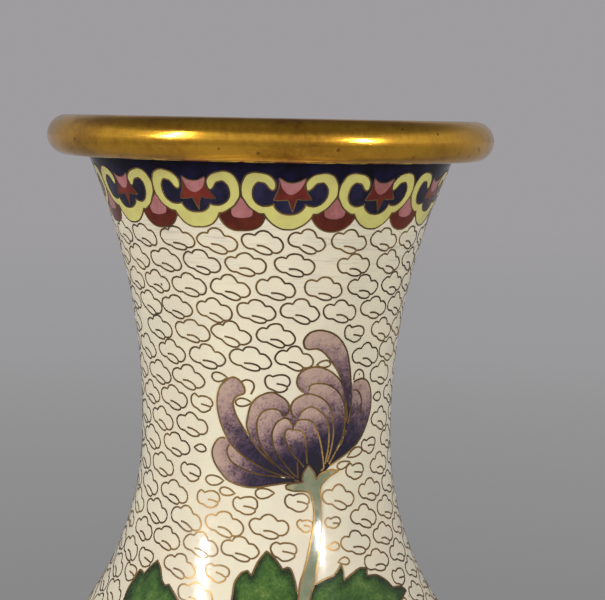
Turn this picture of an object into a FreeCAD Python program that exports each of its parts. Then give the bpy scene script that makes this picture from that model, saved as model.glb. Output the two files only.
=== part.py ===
import FreeCAD, Part
import math
import os
import re

import Sketcher
from FreeCAD import Placement, Rotation, Vector

# Cloisonne vase: a copper body under enamel cells, with a gilt mouth ring and foot ring.
# Z is the vase's axis, z = 0 is the plane it stands on, and its decorated front faces -Y.
# Every wall layer is an offset of one master profile, the face of the enamel.

doc = FreeCAD.newDocument("cloisonne_vase")

# ---------------------------------------------------------------- driving dimensions (mm, degrees)
SIZES = {
    # master profile: flared neck, straight waist, shoulder, belly, foot
    "neck_radius": 26.6,
    "waist_top": 187,
    "waist_bottom": 184,
    "flare_radius": 136.3,
    "lower_neck_radius": 70,
    "shoulder_slope": 45,
    "belly_radius": 62,
    "lower_belly_radius": 130,
    "foot_slope": 35,
    "foot_curve_radius": 14,
    "lip_height": 242,
    # wall layers
    "enamel_thick": 0.9,
    "copper_thick": 0.9,
    "lining_thick": 0.6,
    # gilt mouth ring
    "total_height": 250,
    "mouth_radius": 46.5,
    "mouth_bead": 4.1,
    "mouth_seat_radius": 38.7,
    "mouth_bore_radius": 35.4,
    "mouth_edge_radius": 1.9,
    "mouth_edge_drop": 1.1,
    "mouth_dome_radius": 15,
    # gilt foot ring and base
    "foot_ring_height": 5.5,
    "foot_ring_radius": 40.8,
    "foot_bore_radius": 35,
    "base_radius": 37.3,
    # enamel design
    "head_count": 12,
    "head_azimuth": 6,
    "collar_bottom": 233,
    "band_bottom": 227.5,
    "wire_proud": 0.12,
    "wire_width": 0.4,
    "cloud_top_row": 226.9,
    "cloud_row_pitch": 4.7,
    "cloud_rows": 14,
    "cloud_pitch": 8.9,
    "border_count": 18,
    "border_top": 20,
}
sheet = doc.addObject("Spreadsheet::Sheet", "Sizes")
for row, (alias, value) in enumerate(SIZES.items(), start=1):
    sheet.set(f"A{row}", alias)
    sheet.set(f"B{row}", str(value))
    sheet.setAlias(f"B{row}", alias)
doc.recompute()
ALIAS = re.compile(r"\b(" + "|".join(SIZES) + r")\b")


def bound(expression):
    """The expression as another object's property reads it from the sheet."""
    return ALIAS.sub(r"Sizes.\1", expression)


def size(expression):
    """The expression's number."""
    return float(sheet.evalExpression(expression))


# ---------------------------------------------------------------- master profile
# Arc centres. The neck's two arcs and the foot's arc are hollow; the shoulder and belly are full.
FLARE_X = "(neck_radius + flare_radius)"
LOWER_NECK_X = "(neck_radius + lower_neck_radius)"
SLOPE_X = f"({LOWER_NECK_X} - lower_neck_radius * cos(shoulder_slope))"
SLOPE_Z = "(waist_bottom - lower_neck_radius * sin(shoulder_slope))"
SHOULDER_RADIUS = f"((belly_radius - {SLOPE_X}) / (1 - cos(shoulder_slope)))"
BELLY_Z = f"({SLOPE_Z} - {SHOULDER_RADIUS} * sin(shoulder_slope))"
SHOULDER_X = f"(belly_radius - {SHOULDER_RADIUS})"
BELLY_X = "(belly_radius - lower_belly_radius)"
FOOT_X = f"({BELLY_X} + (lower_belly_radius + foot_curve_radius) * cos(foot_slope))"
FOOT_Z = f"({BELLY_Z} - (lower_belly_radius + foot_curve_radius) * sin(foot_slope))"

STATIONS = ["lip", "waist_top", "waist_bottom", "slope", "belly", "foot_join", "foot"]


def station(name, offset, height="foot_ring_height"):
    """Corner of the profile (radius, height) moved outward by an offset."""
    if name == "lip":
        drop = "(lip_height - waist_top)"
        return (f"{FLARE_X} - sqrt((flare_radius - ({offset}))^2 - {drop}^2)", "lip_height")
    if name in ("waist_top", "waist_bottom"):
        return (f"neck_radius + ({offset})", name)
    if name == "slope":
        reach = f"(lower_neck_radius - ({offset}))"
        return (f"{LOWER_NECK_X} - {reach} * cos(shoulder_slope)",
                f"waist_bottom - {reach} * sin(shoulder_slope)")
    if name == "belly":
        return (f"belly_radius + ({offset})", BELLY_Z)
    if name == "foot_join":
        reach = f"(lower_belly_radius + ({offset}))"
        return (f"{BELLY_X} + {reach} * cos(foot_slope)",
                f"{BELLY_Z} - {reach} * sin(foot_slope)")
    drop = f"({FOOT_Z} - {height})"
    return (f"{FOOT_X} - sqrt((foot_curve_radius - ({offset}))^2 - {drop}^2)", height)


def span(name, offset):
    """Arc below a station: its radius, and whether its centre is on the left going down."""
    return {
        "lip": (f"flare_radius - ({offset})", True),
        "waist_top": None,
        "waist_bottom": (f"lower_neck_radius - ({offset})", True),
        "slope": (f"{SHOULDER_RADIUS} + ({offset})", False),
        "belly": (f"lower_belly_radius + ({offset})", False),
        "foot_join": (f"foot_curve_radius - ({offset})", True),
    }[name]


def wall_outline(inner, outer, first, last, height="foot_ring_height"):
    """Closed outline of a wall layer between two offsets: down the outside, up the inside."""
    names = STATIONS[STATIONS.index(first):STATIONS.index(last) + 1]
    corners = [station(name, outer, height) for name in names]
    corners += [station(name, inner, height) for name in reversed(names)]
    sides = [span(name, outer) for name in names[:-1]] + [None]
    for name in reversed(names[:-1]):
        arc = span(name, inner)
        sides.append(arc and (arc[0], not arc[1]))
    return corners, sides + [None]


def arc_centre(start, end, radius, centre_left):
    """Centre of the short arc from start to end."""
    chord = end - start
    side = Vector(-chord.y, chord.x, 0).normalize()
    rise = math.sqrt(radius ** 2 - (chord.Length / 2) ** 2)
    return (start + end) / 2 + side * (rise if centre_left else -rise)


# ---------------------------------------------------------------- turned pieces, as bodies
SUB_PARTS = []


def origin_plane(body, role):
    return next(item for item in body.Origin.OriginFeatures if item.Role == role)


def outline_sketch(body, corners, sides):
    """Sketch on the body's XZ plane whose corners and arcs are bound to the sheet."""
    sketch = body.newObject("Sketcher::SketchObject", body.Name + "_profile")
    sketch.AttachmentSupport = (origin_plane(body, "XZ_Plane"), [""])
    sketch.MapMode = "FlatFace"
    points = [Vector(size(x), size(z), 0) for x, z in corners]
    start_side = []
    for index, side in enumerate(sides):
        start, end = points[index], points[(index + 1) % len(points)]
        if side is None:
            sketch.addGeometry(Part.LineSegment(start, end))
            start_side.append(1)
            continue
        centre = arc_centre(start, end, size(side[0]), side[1])
        angles = [math.atan2(p.y - centre.y, p.x - centre.x) for p in (start, end)]
        forward = side[1]
        if not forward:
            angles.reverse()
        if angles[1] < angles[0]:
            angles[1] += 2 * math.pi
        circle = Part.Circle(centre, Vector(0, 0, 1), size(side[0]))
        sketch.addGeometry(Part.ArcOfCircle(circle, *angles))
        start_side.append(1 if forward else 2)
    total = len(sides)
    for index in range(total):
        after = (index + 1) % total
        end_side = 3 - start_side[index]
        sketch.addConstraint(Sketcher.Constraint("Coincident", index, end_side, after, start_side[after]))
    for index, (x, z) in enumerate(corners):
        here = (index, start_side[index])
        if x == "0":
            sketch.addConstraint(Sketcher.Constraint("PointOnObject", *here, -2))
        else:
            bind(sketch, Sketcher.Constraint("DistanceX", *here, points[index].x), f"x{index}", x)
        if z == "0":
            sketch.addConstraint(Sketcher.Constraint("PointOnObject", *here, -1))
        else:
            bind(sketch, Sketcher.Constraint("DistanceY", *here, points[index].y), f"z{index}", z)
        if sides[index] is not None:
            radius = sides[index][0]
            bind(sketch, Sketcher.Constraint("Radius", index, size(radius)), f"r{index}", radius)
    return sketch


def bind(sketch, constraint, name, expression):
    number = sketch.addConstraint(constraint)
    sketch.renameConstraint(number, name)
    sketch.setExpression(f"Constraints.{name}", bound(expression))


def turned(label, corners, sides):
    """Piece spun once round the vase's axis."""
    body = doc.addObject("PartDesign::Body", label)
    body.Label = label
    sketch = outline_sketch(body, corners, sides)
    spin = body.newObject("PartDesign::Revolution", label + "_spin")
    spin.Profile = sketch
    spin.ReferenceAxis = (sketch, ["V_Axis"])
    spin.Angle = 360
    sketch.Visibility = False
    SUB_PARTS.append(body)
    return body


COPPER_IN = "-enamel_thick - copper_thick"
LINING_IN = f"{COPPER_IN} - lining_thick"

turned("neck_shell", *wall_outline(COPPER_IN, "-enamel_thick", "lip", "slope"))
turned("shoulder_shell", *wall_outline(COPPER_IN, "-enamel_thick", "slope", "belly"))
turned("lower_shell", *wall_outline(COPPER_IN, "-enamel_thick", "belly", "foot"))

base_top = "(foot_ring_height + copper_thick)"
floor_top = f"({base_top} + lining_thick)"


def lining_outline():
    """Counter-enamel inside the copper: the wall, and a floor over the base plate."""
    names = STATIONS
    corners = [station(name, COPPER_IN, base_top) for name in names]
    sides = [span(name, COPPER_IN) for name in names[:-1]]
    corners += [("0", base_top), ("0", floor_top)]
    sides += [None, None, None]
    corners += [station(name, LINING_IN, floor_top) for name in reversed(names)]
    for name in reversed(names[:-1]):
        arc = span(name, LINING_IN)
        sides.append(arc and (arc[0], not arc[1]))
    return corners, sides + [None]


turned("inner_lining", *lining_outline())

turned("base_plate",
       [("0", "foot_ring_height"), ("base_radius", "foot_ring_height"),
        ("base_radius", base_top), ("0", base_top)],
       [None] * 4)
turned("base_enamel",
       [("0", "foot_ring_height - enamel_thick"), ("foot_bore_radius", "foot_ring_height - enamel_thick"),
        ("foot_bore_radius", "foot_ring_height"), ("0", "foot_ring_height")],
       [None] * 4)
turned("foot_ring",
       [("foot_bore_radius", "0"), ("foot_ring_radius", "0"),
        ("foot_ring_radius + foot_ring_height / 2", "foot_ring_height / 2"),
        ("foot_ring_radius", "foot_ring_height"), ("foot_bore_radius", "foot_ring_height")],
       [None, ("foot_ring_height / 2", True), ("foot_ring_height / 2", True), None, None])

bead_x = "(mouth_radius - mouth_bead)"
bead_z = "(total_height - mouth_bead)"
edge_x = "(mouth_bore_radius + mouth_edge_radius)"
edge_z = "(total_height - mouth_edge_drop - mouth_edge_radius)"
turned("mouth_ring",
       [("mouth_bore_radius", "lip_height"), ("mouth_seat_radius", "lip_height"),
        (bead_x, f"{bead_z} - mouth_bead"), ("mouth_radius", bead_z), (bead_x, "total_height"),
        (edge_x, "total_height - mouth_edge_drop"), ("mouth_bore_radius", edge_z)],
       [None, None, ("mouth_bead", True), ("mouth_bead", True), ("mouth_dome_radius", True),
        ("mouth_edge_radius", True), None])
doc.recompute()


# ---------------------------------------------------------------- wall layers cut into cells
def profile_face(corners, sides):
    """The same outlines as a plain face in the XZ plane."""
    points = [Vector(size(x), size(z), 0) for x, z in corners]
    edges = []
    for index, side in enumerate(sides):
        start, end = points[index], points[(index + 1) % len(points)]
        if side is None:
            edge = Part.LineSegment(start, end)
        else:
            centre = arc_centre(start, end, size(side[0]), side[1])
            middle = (start + end) / 2 - centre
            edge = Part.Arc(start, centre + middle.normalize() * size(side[0]), end)
        edges.append(edge.toShape())
    face = Part.Face(Part.Wire(edges))
    face.rotate(Vector(), Vector(1, 0, 0), 90)
    return face


def layer(inner, outer, first="lip", last="foot", centre=0, width=360):
    """Wall layer as a solid, over a width of azimuth about a centre; azimuth 0 faces -Y."""
    face = profile_face(*wall_outline(inner, outer, first, last))
    face.rotate(Vector(), Vector(0, 0, 1), centre - 90 - width / 2)
    return face.revolve(Vector(), Vector(0, 0, 1), width)


def slab(bottom, top):
    """Everything between two heights, to part a layer level."""
    return Part.makeCylinder(90, top - bottom, Vector(0, 0, bottom))


def strand(points):
    """Smooth edge through points of the drawing plane; two points give a straight one."""
    places = [Vector(x, 0, z) for x, z in points]
    if len(places) == 2:
        return Part.LineSegment(*places).toShape()
    curve = Part.BSplineCurve()
    if (places[0] - places[-1]).Length < 1e-6:
        curve.interpolate(places[:-1], PeriodicFlag=True)
    else:
        curve.interpolate(places)
    return curve.toShape()


def cell_face(strands):
    """Face inside strands that follow one another; the last meets the first."""
    return Part.Face(Part.Wire([strand(points) for points in strands]))


def radius_at(height, offset):
    """Radius of a wall layer's face at a height."""
    corners = [[size(value) for value in station(name, str(offset))] for name in STATIONS]
    for name, upper, lower in zip(STATIONS, corners, corners[1:]):
        if lower[1] <= height <= upper[1]:
            break
    arc = span(name, str(offset))
    if arc is None:
        return upper[0]
    reach = size(arc[0])
    centre = arc_centre(Vector(*upper), Vector(*lower), reach, arc[1])
    rise = math.sqrt(reach ** 2 - (height - centre.y) ** 2)
    return centre.x - rise if arc[1] else centre.x + rise


RADIUS_TABLE = {}


def on_wall(x, z, offset):
    """Point of a wall layer's face that is seen at (x, z) from the front."""
    key = (round(z, 3), offset)
    if key not in RADIUS_TABLE:
        RADIUS_TABLE[key] = radius_at(z, offset)
    return Vector(x, -math.sqrt(RADIUS_TABLE[key] ** 2 - x ** 2), z)


def wire_strip(points, width):
    """Wire of even width and height lying on the enamel along an open line."""
    left, right = [], []
    for index, (x, z) in enumerate(points):
        ahead = points[min(index + 1, len(points) - 1)]
        behind = points[max(index - 1, 0)]
        run = Vector(ahead[0] - behind[0], ahead[1] - behind[1], 0).normalize() * (width / 2)
        left.append((x - run.y, z + run.x))
        right.append((x + run.y, z - run.x))
    rails = []
    for side, offset in ((left, WIRE[0]), (right, WIRE[0]), (right, WIRE[1]), (left, WIRE[1])):
        curve = Part.BSplineCurve()
        curve.interpolate([on_wall(x, z, size(offset)) for x, z in side])
        rails.append(curve)
    next_rails = rails[1:] + rails[:1]
    faces = [rail.makeRuledSurface(following).toShape() for rail, following in zip(rails, next_rails)]
    for end in ("StartPoint", "EndPoint"):
        corners = [getattr(rail, end) for rail in rails]
        low, high = Part.LineSegment(*corners[:2]), Part.LineSegment(*corners[:1:-1])
        faces.append(low.makeRuledSurface(high).toShape())
    shell = Part.makeShell(faces)
    shell.sewShape()
    strip = Part.makeSolid(shell)
    if strip.Volume < 0:
        strip.reverse()
    return strip


PRISM_DEPTH = 90
LEAST_VOLUME = 0.01


def prisms(faces):
    """Faces of the drawing plane drawn out along -Y, towards azimuth 0."""
    return [face.extrude(Vector(0, -PRISM_DEPTH, 0)) for face in faces]


def solids(shape):
    return [solid for solid in shape.Solids if solid.Volume > LEAST_VOLUME]


def turned_to(items, azimuth):
    """Copies of solids turned about the axis to an azimuth."""
    copies = []
    for item in items:
        copy = item.copy()
        copy.rotate(Vector(), Vector(0, 0, 1), azimuth)
        copies.append(copy)
    return copies


def around(items, count, first):
    """Copies of solids repeated evenly round the vase."""
    every = []
    for index in range(count):
        every += turned_to(items, first + index * 360 / count)
    return every


def add_cells(label, items):
    """A sub-part made of separate solids, one for each enamel cell or length of wire."""
    feature = doc.addObject("Part::Feature", label)
    feature.Label = label
    feature.Shape = Part.makeCompound(items)
    feature.Placement = Placement(Vector(0, 0, 0), Rotation(0, 0, 0))
    SUB_PARTS.append(feature)
    return feature


ENAMEL = ("-enamel_thick", "0")
WIRE = ("0", "wire_proud")
WIRE_WIDTH = size("wire_width")


def wall_radius(height):
    """Radius of the enamel's face on the flared neck."""
    rise = height - size("waist_top")
    return size(FLARE_X) - math.sqrt(size("flare_radius") ** 2 - rise ** 2)


def on_band(points):
    """Points given as azimuth from the motif's centre and height, in mm of the drawing plane."""
    return [(wall_radius(z) * math.sin(math.radians(angle)), z) for angle, z in points]


def mirrored(points):
    return [(-x, z) for x, z in reversed(points)]


# ---------------------------------------------------------------- collar of scrolled cloud heads
step = 360 / size("head_count")
sector = layer(*ENAMEL, "lip", "waist_top", 0, step)
collar_slice = sector.common(slab(size("collar_bottom"), size("lip_height") + 1))
ivory_slice = sector.common(slab(size("band_bottom"), size("collar_bottom")))

outer_lobe = [(0, 229.05), (3.4, 229.4), (6.0, 230.5), (7.8, 232.05)]
outer_side = [(7.8, 232.05), (10.8, 232.6), (13.6, 234.3), (14.9, 236.35), (14.2, 238.4),
              (11.8, 239.8), (9.0, 239.9), (6.4, 239.1), (4.9, 237.9), (5.3, 236.9), (6.5, 237.3)]
inner_side = [(6.5, 237.3), (8.6, 238.2), (10.7, 237.6), (11.5, 236.2), (10.9, 234.7), (9.0, 233.7),
              (7.0, 233.5), (5.0, 233.9)]
inner_lobe = [(5.0, 233.9), (4.2, 232.9), (2.3, 232.15), (0, 231.95)]
half_head = [on_band(points) for points in (outer_lobe, outer_side, inner_side, inner_lobe)]
head = cell_face(half_head + [mirrored(points) for points in reversed(half_head)])
star_top = on_band([(4.2, 238.9), (2.0, 238.2), (0.4, 238.05), (-1.3, 238.2), (-3.4, 238.9)])
fill_left = on_band([(-3.4, 238.9), (-6.0, 238.4), (-9.0, 239.0), (-12.8, 237.6), (-12.8, 235.0),
                     (-9.5, 233.0), (-6.2, 232.0), (0, 230.4)])
fill_right = on_band([(0, 230.4), (6.2, 232.0), (9.5, 233.0), (12.8, 235.0), (12.8, 237.6),
                      (9.0, 239.0), (6.4, 238.4), (4.2, 238.9)])
head_fill = cell_face([star_top, fill_left, fill_right])
star = cell_face([star_top,
                  on_band([(-3.4, 238.9), (-3.6, 236.6), (-5.2, 234.6)]),
                  on_band([(-5.2, 234.6), (-0.6, 234.8)]),
                  on_band([(-0.6, 234.8), (0.9, 232.4)]),
                  on_band([(0.9, 232.4), (2.3, 234.9)]),
                  on_band([(2.3, 234.9), (7.0, 234.8)]),
                  on_band([(7.0, 234.8), (4.9, 236.6), (4.2, 238.9)])])
star_blush = cell_face([on_band([(5.0, 240), (-4.2, 240)]),
                        on_band([(-4.2, 240), (-2.2, 236.6), (0.4, 235.8), (3.0, 236.6), (5.0, 240)])])
pendant = cell_face([on_band([(0, 234.9), (3.4, 233.2), (6.6, 232.3), (7.4, 231.2)]),
                     on_band([(7.4, 231.2), (4.6, 229.2), (0, 228.6), (-4.6, 229.2), (-7.4, 231.2)]),
                     on_band([(-7.4, 231.2), (-6.6, 232.3), (-3.4, 233.2), (0, 234.9)])])
pendant_blush = cell_face([on_band([(0, 235.2), (4.2, 233.4), (4.6, 231.6), (2.6, 230.7), (0, 230.5),
                                    (-2.6, 230.7), (-4.6, 231.6), (-4.2, 233.4), (0, 235.2)])])

head_prism, fill_prism, star_prism, blush_prism = prisms([head, head_fill, star, star_blush])
pendant_prism, pendant_blush_prism = prisms([pendant, pendant_blush])
half_turn = step / 2
pendants_beside = turned_to([pendant_prism], -half_turn) + turned_to([pendant_prism], half_turn)
head_tools = [head_prism, fill_prism]
heads_beside = turned_to(head_tools, -half_turn) + turned_to(head_tools, half_turn)
band_tools = head_tools + pendants_beside
azimuth = size("head_azimuth")
count = int(size("head_count"))

whole = sector.common(slab(size("band_bottom"), size("lip_height") + 1))
add_cells("collar_enamel", around(solids(collar_slice.cut(band_tools)), count, azimuth))
add_cells("head_enamel", around(solids(whole.common(head_prism)), count, azimuth))
in_head = whole.common(fill_prism).cut([head_prism])
add_cells("head_cells", around(solids(in_head.cut([star_prism])), count, azimuth))
star_cell = whole.common(star_prism).cut([head_prism])
add_cells("star_red", around(solids(star_cell.cut([blush_prism])), count, azimuth))
add_cells("star_pink", around(solids(star_cell.common(blush_prism)), count, azimuth))
hanging = whole.common(pendant_prism).cut(heads_beside)
add_cells("pendant_red", around(solids(hanging.cut([pendant_blush_prism])), count, azimuth + half_turn))
add_cells("pendant_pink", around(solids(hanging.common(pendant_blush_prism)), count, azimuth + half_turn))
ivory_band = around(solids(ivory_slice.cut(band_tools)), count, azimuth)

# gilt wires round the heads, stars and pendants, standing a little proud of the enamel
WIRE_SPACING = 0.9
WIRE_GAP = 1.25 * WIRE_WIDTH
TOLERANCE = 1e-6


def sampled(points):
    """Evenly spaced places along a smooth strand."""
    edge = strand(points)
    parts = max(2, round(edge.Length / WIRE_SPACING))
    return [(place.x, place.z) for place in edge.discretize(parts + 1)]


class WireDrawing:
    """Wires laid one after another; each stops short of the ones before it and of nearer cells."""

    def __init__(self):
        self.laid = []

    def lay(self, strands, nearer=(), width=WIRE_WIDTH):
        runs = []
        for points in strands:
            run = []
            for place in sampled(points):
                if self.is_free(place, nearer):
                    run.append(place)
                else:
                    runs.append(run)
                    run = []
            runs.append(run)
        runs = [run for run in runs if len(run) > 2]
        self.laid += [place for run in runs for place in run]
        return [wire_strip(run, width) for run in runs]

    def is_free(self, place, nearer):
        if any(math.dist(place, other) < WIRE_GAP for other in self.laid):
            return False
        point = Vector(place[0], 0, place[1])
        boxed = [face for face in nearer if face.BoundBox.isInside(point)]
        return not any(face.isInside(point, TOLERANCE, True) for face in boxed)


def within_step(points):
    """Keeps a head's wires inside its own share of the collar."""
    limit = math.radians(half_turn) - 0.6 * WIRE_WIDTH / size("neck_radius")
    return [(math.copysign(min(abs(x), wall_radius(z) * math.sin(limit)), x), z) for x, z in points]


star_sides = [[(-3.6, 238.2), (-3.6, 236.6), (-5.2, 234.9)], [(-4.4, 234.6), (-0.6, 234.8)],
              [(-0.6, 234.8), (0.9, 232.6)], [(1.2, 233.0), (2.3, 234.9)], [(2.3, 234.9), (6.2, 234.8)],
              [(6.6, 235.2), (4.9, 236.6), (4.4, 238.2)]]
star_strands = [on_band(points) for points in star_sides] + [star_top]
collar_drawing = WireDrawing()
head_strands = [within_step(points) for points in half_head + [mirrored(points) for points in half_head]]
add_cells("head_wires", around(collar_drawing.lay(head_strands), count, azimuth))
add_cells("star_wires", around(collar_drawing.lay(star_strands, (), WIRE_WIDTH * 0.7), count, azimuth))
pendant_line = on_band([(6.6, 230.4), (4.6, 229.2), (0, 228.6), (-4.6, 229.2), (-6.6, 230.4)])
add_cells("pendant_wires", around(WireDrawing().lay([pendant_line]), count, azimuth + half_turn))


# ---------------------------------------------------------------- sprays of chrysanthemum
# Each outline is a list of smooth strands in mm: x to the right, z up, as seen from the front.
# Petals are listed from the nearest to the farthest; each is cut where a nearer one covers it.
bud_petals = [
    [[(8.0, 181.0), (6.4, 182.7), (4.2, 185.9), (3.6, 187.6), (4.0, 189.0), (5.6, 188.9), (7.2, 188.2),
      (7.9, 184.4), (8.0, 181.0)]],
    [[(5.0, 189.9), (4.4, 191.0), (3.3, 191.3), (1.9, 190.3), (1.1, 188.4), (1.3, 186.2), (3.5, 182.3),
      (6.4, 179.2)], [(6.4, 179.2), (5.9, 184.9), (5.0, 189.9)]],
    [[(5.3, 189.2), (6.0, 190.7), (7.7, 190.9), (9.0, 190.3), (9.9, 188.6), (11.2, 183.3), (11.5, 181.0)],
     [(11.5, 181.0), (10.0, 178.7)], [(10.0, 178.7), (9.2, 180.5), (8.0, 181.5)],
     [(8.0, 181.5), (7.0, 186.4), (5.3, 189.2)]],
    [[(6.3, 191.1), (6.8, 192.5), (8.6, 193.4), (10.4, 192.5), (11.8, 190.8), (12.4, 188.0), (12.3, 184.9),
      (11.6, 180.9)], [(11.6, 180.9), (9.7, 186.9), (6.3, 191.1)]],
    [[(6.1, 191.1), (4.7, 193.2), (5.2, 194.7), (8.2, 196.1), (10.6, 195.2), (12.3, 193.4), (13.1, 190.6),
      (13.3, 187.5), (11.7, 180.9)], [(11.7, 180.9), (10.7, 188.0), (6.1, 191.1)]],
    [[(3.1, 191.7), (2.5, 192.8), (1.0, 193.2), (-0.8, 192.6), (-1.8, 190.9), (-1.9, 188.8), (-1.2, 186.1),
      (2.9, 181.1), (5.6, 179.1)], [(5.6, 179.1), (3.3, 184.9), (3.1, 191.7)]],
    [[(-3.1, 187.1), (-3.9, 189.5), (-3.2, 193.7), (-1.8, 195.5), (0.8, 196.5), (3.0, 195.5), (4.3, 192.7),
      (3.2, 191.4)], [(3.2, 191.4), (3.1, 185.9), (5.6, 179.2)],
     [(5.6, 179.2), (2.1, 181.5), (-1.5, 184.9), (-3.1, 187.1)]],
    [[(8.2, 196.2), (8.4, 197.7), (9.7, 198.1), (11.8, 197.8), (13.9, 196.3), (15.3, 193.7), (15.6, 190.6),
      (14.2, 184.6), (11.8, 180.9)], [(11.8, 180.9), (12.3, 189.0), (8.2, 196.2)]],
    [[(7.3, 196.2), (5.8, 198.9), (6.7, 200.6), (9.2, 201.5), (11.8, 200.8), (13.9, 199.1),
      (15.6, 194.7), (15.8, 188.5)], [(15.8, 188.5), (12.3, 191.1), (7.3, 196.2)]],
    [[(7.2, 205.5), (7.0, 206.9), (8.1, 208.4), (10.1, 208.9), (12.4, 208.3), (14.2, 206.9), (16.3, 201.4),
      (16.9, 194.2), (15.6, 186.8)],
     [(15.6, 186.8), (15.7, 194.2), (14.0, 200.2), (11.0, 204.4), (9.5, 205.2), (7.2, 205.5)]],
    [[(16.6, 196.3), (17.3, 197.7), (19.0, 198.2), (20.3, 197.3), (21.1, 192.1), (19.6, 186.9), (16.3, 183.3),
      (12.3, 180.9)], [(12.3, 180.9), (15.0, 185.5), (16.6, 196.3)]],
    [[(5.6, 179.1), (0.5, 180.7), (-5.1, 184.0), (-8.4, 188.3), (-9.8, 193.2), (-8.9, 197.8), (-6.7, 199.3),
      (-5.4, 198.5), (-4.7, 196.7)],
     [(-4.7, 196.7), (-6.2, 195.8), (-6.1, 191.8), (-3.0, 186.8), (0.0, 183.8), (5.6, 179.1)]],
    [[(5.1, 179.3), (-1.5, 180.0), (-6.5, 182.0), (-7.7, 184.9), (-7.0, 186.1)],
     [(-7.0, 186.1), (-4.6, 184.2), (0.0, 181.3), (5.1, 179.3)]],
    [[(7.5, 178.3), (1.0, 177.8), (-5.1, 177.6), (-9.0, 180.0), (-10.7, 184.2), (-8.6, 187.0), (-7.2, 186.3)],
     [(-7.2, 186.3), (-5.1, 183.4), (0.0, 180.3), (7.5, 178.3)]],
]
stem = [
    [[(8.4, 181.6), (9.5, 180.1), (10.0, 178.5)], [(10.0, 178.5), (11.9, 180.1), (14.6, 179.9)],
     [(14.6, 179.9), (12.0, 178.5), (10.9, 175.5), (11.2, 168.1), (10.4, 161.8), (9.2, 156.5), (7.0, 141.0)],
     [(7.0, 141.0), (5.0, 142.0)],
     [(5.0, 142.0), (6.8, 156.5), (7.7, 160.7), (8.9, 165.5), (9.7, 170.7), (8.7, 175.6), (5.7, 176.6),
      (4.0, 177.4)],
     [(4.0, 177.4), (5.1, 178.1), (7.3, 178.4), (7.3, 179.9), (8.4, 181.6)]],
]
leaves = [
    [[(-6.2, 156.5), (-5.8, 159.1), (-3.3, 161.4)], [(-3.3, 161.4), (-2.5, 160.5)],
     [(-2.5, 160.5), (-1.2, 163.2), (0.4, 165.1)], [(0.4, 165.1), (2.0, 163.8), (3.6, 161.7)],
     [(3.6, 161.7), (5.0, 161.9), (6.6, 157.0)], [(6.6, 157.0), (7.4, 151.0), (4.0, 142.0)],
     [(4.0, 142.0), (-3.0, 147.0), (-6.2, 156.5)]],
    [[(8.8, 157.0), (10.3, 158.6), (13.8, 159.8)], [(13.8, 159.8), (14.8, 160.9), (15.3, 161.8)],
     [(15.3, 161.8), (15.8, 160.3), (15.9, 158.7)], [(15.9, 158.7), (17.6, 159.6), (20.7, 160.0)],
     [(20.7, 160.0), (20.8, 158.6)], [(20.8, 158.6), (24.8, 156.8), (26.4, 155.0)],
     [(26.4, 155.0), (29.5, 153.3)], [(29.5, 153.3), (22.0, 149.5), (14.0, 146.0), (7.0, 142.5)],
     [(7.0, 142.5), (7.4, 149.0), (8.8, 157.0)]],
    [[(-17.6, 155.4), (-19.0, 157.0)], [(-19.0, 157.0), (-20.5, 157.5)],
     [(-20.5, 157.5), (-20.9, 159.5), (-21.6, 160.7)], [(-21.6, 160.7), (-23.2, 159.0), (-24.4, 157.5)],
     [(-24.4, 157.5), (-26.5, 156.0), (-28.6, 151.7)], [(-28.6, 151.7), (-24.0, 144.0), (-6.0, 136.0)],
     [(-6.0, 136.0), (-11.0, 147.0), (-17.6, 155.4)]],
]

BLOOM_X, BLOOM_Z = 4, 118


def polar(turn, reach):
    angle = math.radians(turn)
    return (BLOOM_X + reach * math.sin(angle), BLOOM_Z + reach * math.cos(angle))


def petal_ring(petal_count, root, tip, turn):
    """Ring of round-tipped petals of the open bloom."""
    half = 180 / petal_count
    ring = []
    for index in range(petal_count):
        middle = turn + 2 * half * index
        ring.append([[polar(middle, root), polar(middle - half * 0.9, (root + tip) / 2),
                      polar(middle - half * 0.55, tip * 0.95), polar(middle, tip),
                      polar(middle + half * 0.55, tip * 0.95), polar(middle + half * 0.9, (root + tip) / 2),
                      polar(middle, root)]])
    return ring


bloom_petals = petal_ring(9, 2.5, 11, 0) + petal_ring(14, 8, 22, 8)

SPRAY_WIDTH = 110
wall_front = layer(*ENAMEL, "lip", "belly", 0, SPRAY_WIDTH)
bloom_front = layer(*ENAMEL, "slope", "foot_join", 0, SPRAY_WIDTH)


def covered_cells(wall, outlines, nearer=()):
    """Enamel cells of one colour, each cut by the prisms that lie nearer."""
    tools, cells = list(nearer), []
    for outline in outlines:
        prism = prisms([cell_face(outline)])[0]
        cell = wall.common(prism)
        if tools:
            cell = cell.cut(tools)
        cells += solids(cell)
        tools.append(prism)
    return cells, tools[len(nearer):]


def covered_wires(drawing, outlines, nearer=()):
    """Wires along the outlines, left out where a nearer cell covers them."""
    wires, in_front = [], list(nearer)
    for outline in outlines:
        wires += drawing.lay(outline, in_front)
        in_front.append(cell_face(outline))
    return wires


stem_cells, stem_tools = covered_cells(wall_front, stem)
bud_cells, bud_tools = covered_cells(wall_front, bud_petals, stem_tools)
bloom_cells, bloom_tools = covered_cells(bloom_front, bloom_petals, stem_tools)
leaf_cells, leaf_tools = covered_cells(wall_front, leaves, stem_tools + bloom_tools)

# the back carries the bud spray only
add_cells("petal_enamel", bud_cells + bloom_cells + turned_to(bud_cells, 180))
add_cells("stem_enamel", stem_cells + turned_to(stem_cells, 180))
back_leaves, _ = covered_cells(wall_front, leaves, stem_tools)
add_cells("leaf_enamel", leaf_cells + turned_to(back_leaves, 180))

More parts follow.
